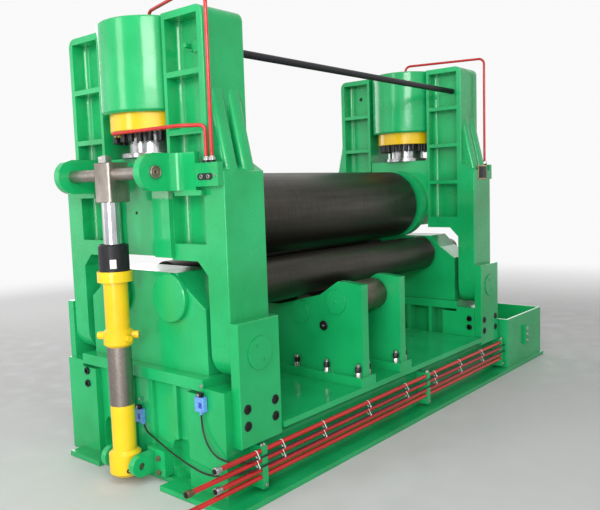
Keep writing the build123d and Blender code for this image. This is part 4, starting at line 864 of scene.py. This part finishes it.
# Limit switches: window, cover screws, black head and lever with a bright roller, strap with its bolt
SWITCHES = ((-1.647, -0.562, 0.480), (-1.607, 0.031, 0.296))
SWITCH_HALF_T, SWITCH_H = 0.017, 0.080
COVER_SCREWS = ((-0.026, 0.070), (0.026, 0.070), (-0.026, 0.010), (0.026, 0.010))
COVER_SCREW_R, COVER_SCREW_H = 0.0036, 0.002
WINDOW_LOW, WINDOW_HIGH, WINDOW_EDGE = (-0.0015, -0.025, 0.022), (SINK, -0.002, 0.054), 0.0007
HEAD_LOW, HEAD_HIGH, HEAD_EDGE = (-0.014, -0.017, -SINK), (0.009, 0.017, 0.022), 0.002
LEVER_LOW, LEVER_HIGH, LEVER_EDGE = (-0.019, -0.024, 0.004), (-0.0145, 0.004, 0.030), 0.001
STRAP_LOW, STRAP_HIGH, STRAP_EDGE = (0, -0.0115, 0.0005), (0.006, 0.0115, 0.0705), 0.001
ROLLER_X, ROLLER_Z = -0.014, 0.011
ROLLER = [(0.0085, -SINK), (0.0085, 0.006), (0.007, 0.007), (0.003, 0.007)]
STRAP_X, STRAP_BOLT_Z = 0.0105, 0.055
STRAP_BOLT_R, STRAP_BOLT_H = 0.0095, 0.007
windows, black_bits, bright_bits, straps = bmesh.new(), bmesh.new(), bmesh.new(), bmesh.new()
for x, y, low in SWITCHES:
    face = x - SWITCH_HALF_T
    top = low + SWITCH_H
    block_at(windows, (face, y, low), WINDOW_LOW, WINDOW_HIGH, WINDOW_EDGE)
    for dy, dz in COVER_SCREWS:
        hex_head(bright_bits, (face, y + dy, low + dz), TO_NEAR, COVER_SCREW_R, COVER_SCREW_H)
    block_at(black_bits, (x, y, top), HEAD_LOW, HEAD_HIGH, HEAD_EDGE)
    turned(bright_bits, (x + ROLLER_X, y, top + ROLLER_Z), TO_NEAR, ROLLER)
    block_at(black_bits, (x, y, top), LEVER_LOW, LEVER_HIGH, LEVER_EDGE)
    block_at(straps, (x + STRAP_X, y, top), STRAP_LOW, STRAP_HIGH, STRAP_EDGE)
    hex_head(bright_bits, (x + STRAP_X, y, top + STRAP_BOLT_Z), TO_NEAR, STRAP_BOLT_R, STRAP_BOLT_H)
piece("switch_straps", straps, green_plate, "frame")
piece("switch_windows", windows, blue_dark, "frame")
piece("switch_heads", black_bits, black_satin, "frame")
piece("switch_screws", bright_bits, zinc, "frame")

# Two control cables from the switches, laid among the base pipes
CABLE_R = 0.005
CABLE_Y = -0.8228
CABLE_END_X = 1.630
CABLE_ORDER, CABLE_STEPS, CABLE_FACETS = 3, 16, 4
UPPER_ROUTE = (
    (-1.647, -0.562, 0.4617), (-1.647, -0.562, 0.412), (-1.653, -0.585, 0.340),
    (-1.658, -0.634, 0.284), (-1.655, -0.694, 0.250), (-1.622, -0.757, 0.233),
    (-1.570, -0.804, 0.228), (-1.508, CABLE_Y, 0.228), (-1.443, CABLE_Y, 0.228),
    (CABLE_END_X, CABLE_Y, 0.228),
)
LOWER_ROUTE = (
    (-1.61259, -0.012548, 0.286136), (-1.622618, -0.042229, 0.261268), (-1.630, -0.095, 0.247),
    (-1.640, -0.185, 0.226), (-1.648, -0.285, 0.197), (-1.652, -0.390, 0.172),
    (-1.655, -0.485, 0.152), (-1.657, -0.570, 0.142), (-1.654, -0.650, 0.147),
    (-1.650, -0.716, 0.158), (-1.620, -0.766, 0.169), (-1.566, -0.801, 0.176),
    (-1.505, CABLE_Y, 0.176), (-1.440, CABLE_Y, 0.176), (CABLE_END_X, CABLE_Y, 0.176),
)


# Makes the cable and returns the points of its centre line
def cable(name, route):
    curve = bpy.data.curves.new(name + "_run", "CURVE")
    curve.dimensions = "3D"
    spline = curve.splines.new("NURBS")
    spline.points.add(len(route) - 1)
    for point, place in zip(spline.points, route):
        point.co = (*place, 1.0)
    spline.order_u = CABLE_ORDER
    spline.use_endpoint_u = True
    spline.resolution_u = CABLE_STEPS
    obj = bpy.data.objects.new(name + "_run", curve)
    bpy.context.scene.collection.objects.link(obj)
    centre = bpy.data.meshes.new_from_object(obj)
    line = [v.co.copy() for v in centre.vertices]
    bpy.data.meshes.remove(centre)
    curve.bevel_depth = CABLE_R
    curve.bevel_resolution = CABLE_FACETS
    curve.use_fill_caps = True
    curve.materials.append(rubber)
    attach(obj, "frame")
    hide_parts(name)
    return line


def at_x(line, x):
    for a, b in zip(line, line[1:]):
        if a.x <= x < b.x:
            return a.lerp(b, (x - a.x) / (b.x - a.x))


upper_line = cable("control_cable_upper", UPPER_ROUTE)
lower_line = cable("control_cable_lower", LOWER_ROUTE)

# Nylon ties round each cable and the pipe above it, with a small lock in front
TIE_XS = (-1.490, -1.285, -0.915, -0.447, 0.016, 0.417, 0.815, 1.200)
TIE_WIDTH, TIE_T = 0.005, 0.0015
TIE_LOCK_LOW, TIE_LOCK_HIGH, TIE_LOCK_EDGE = (-0.0035, -0.0035, 0), (0.0035, 0.001, 0.007), 0.001
bm = bmesh.new()
for line, pipe_z in ((upper_line, UPPER_PIPE_Z), (lower_line, LOWER_PIPE_Z)):
    for x in TIE_XS:
        held = at_x(line, x)
        strap(bm, x, TIE_WIDTH, TIE_T, ((PIPE_Y, pipe_z, PIPE_R), (held.y, held.z, CABLE_R)))
        block_at(bm, (x, held.y - CABLE_R, held.z), TIE_LOCK_LOW, TIE_LOCK_HIGH, TIE_LOCK_EDGE)
piece("cable_ties", bm, white_nylon, "frame")

# Lamps: name, place, the point it looks at, its two sizes in metres and its power in watts
LAMPS = (
    ("door_light", (-6.9, -6.2, 3.95), (-1.4, 0, 2.3), 4.0, 1.4, 310),
    ("rear_window", (-8.1, 1.9, 3.9), (-1.4, 0, 1.6), 1.8, 4.2, 150),
    ("left_windows", (-5.8, 5.6, 2.2), (-1.5, 0, 1.2), 3.4, 3.2, 25),
    ("low_door", (-7.6, -3.4, 1.4), (-1.0, 0, 1.0), 2.6, 2.2, 190),
    ("front_windows", (-2.5, -7.2, 2.8), (-1.5, 0, 1.2), 4.0, 2.4, 12),
    ("overhead", (-3.0, -2.4, 6.0), (0.2, -0.6, 0.6), 5.0, 3.0, 110),
    ("rear_fill", (1.5, 6.5, 3.2), (0, 0, 1.2), 4.0, 3.0, 100),
    ("far_fill", (7.5, 1.0, 3.0), (1.0, 0, 1.2), 3.0, 3.0, 40),
)
for name, place, target, size_x, size_y, power in LAMPS:
    data = bpy.data.lights.new(name, "AREA")
    data.shape = "RECTANGLE"
    data.size = size_x
    data.size_y = size_y
    data.energy = power
    lamp = bpy.data.objects.new(name, data)
    bpy.context.scene.collection.objects.link(lamp)
    direction = Vector(target) - Vector(place)
    lamp.rotation_euler = direction.to_track_quat("-Z", "Y").to_euler()
    lamp.location = place

# White surround that is seen straight, in gloss and through glass, but lights the machine less
WHITE_SEEN = 0.95
FILL = 0.33


def seen_rays(nt):
    paths = nt.nodes.new("ShaderNodeLightPath")
    first = math_node(nt, "MAXIMUM", paths, "Is Camera Ray", paths, "Is Transmission Ray")
    return math_node(nt, "MAXIMUM", first, "Value", paths, "Is Glossy Ray")


world = bpy.data.worlds.new("studio_world")
world.use_nodes = True
bpy.context.scene.world = world
wt = world.node_tree
surround = wt.nodes["Background"]
strength = value_range(wt, seen_rays(wt), "Value", 0, 1, FILL, WHITE_SEEN)
surround.inputs["Color"].default_value = grey(1)
link(wt, strength, "Result", surround, "Strength")

# Pale floor that keeps the shadow near the machine and fades into the white surround
FLOOR_SIZE = 40
FLOOR_DROP = 0.002
FLOOR_GREY, FLOOR_ROUGH = rgb(0.60, 0.60, 0.595), 0.75
FADE_START, FADE_END = 4.5, 10.0
floor_mesh = bpy.data.meshes.new("studio_floor")
bm = bmesh.new()
bmesh.ops.create_grid(bm, x_segments=2, y_segments=2, size=FLOOR_SIZE)
bm.to_mesh(floor_mesh)
bm.free()
floor = bpy.data.objects.new("studio_floor", floor_mesh)
bpy.context.scene.collection.objects.link(floor)
floor.location = (0, 0, -FLOOR_DROP)
floor_mat = plain("floor_pale", FLOOR_GREY, FLOOR_ROUGH, scale=5.0, strength=0.0, vary=0.03)
ft = floor_mat.node_tree
coord = ft.nodes.new("ShaderNodeTexCoord")
distance = ft.nodes.new("ShaderNodeVectorMath")
distance.operation = "LENGTH"
link(ft, coord, "Object", distance, 0)
fade = value_range(ft, distance, "Value", FADE_START, FADE_END, 0, 1)
fade.interpolation_type = "SMOOTHSTEP"
white_share = math_node(ft, "MULTIPLY", fade, "Result", seen_rays(ft), "Value")
glow = ft.nodes.new("ShaderNodeEmission")
glow.inputs["Color"].default_value = grey(1)
glow.inputs["Strength"].default_value = WHITE_SEEN
blend = ft.nodes.new("ShaderNodeMixShader")
link(ft, white_share, "Value", blend, "Fac")
link(ft, ft.nodes["Principled BSDF"], "BSDF", blend, 1)
link(ft, glow, "Emission", blend, 2)
link(ft, blend, "Shader", ft.nodes["Material Output"], "Surface")
floor_mesh.materials.append(floor_mat)

bpy.context.scene.view_settings.view_transform = "Standard"
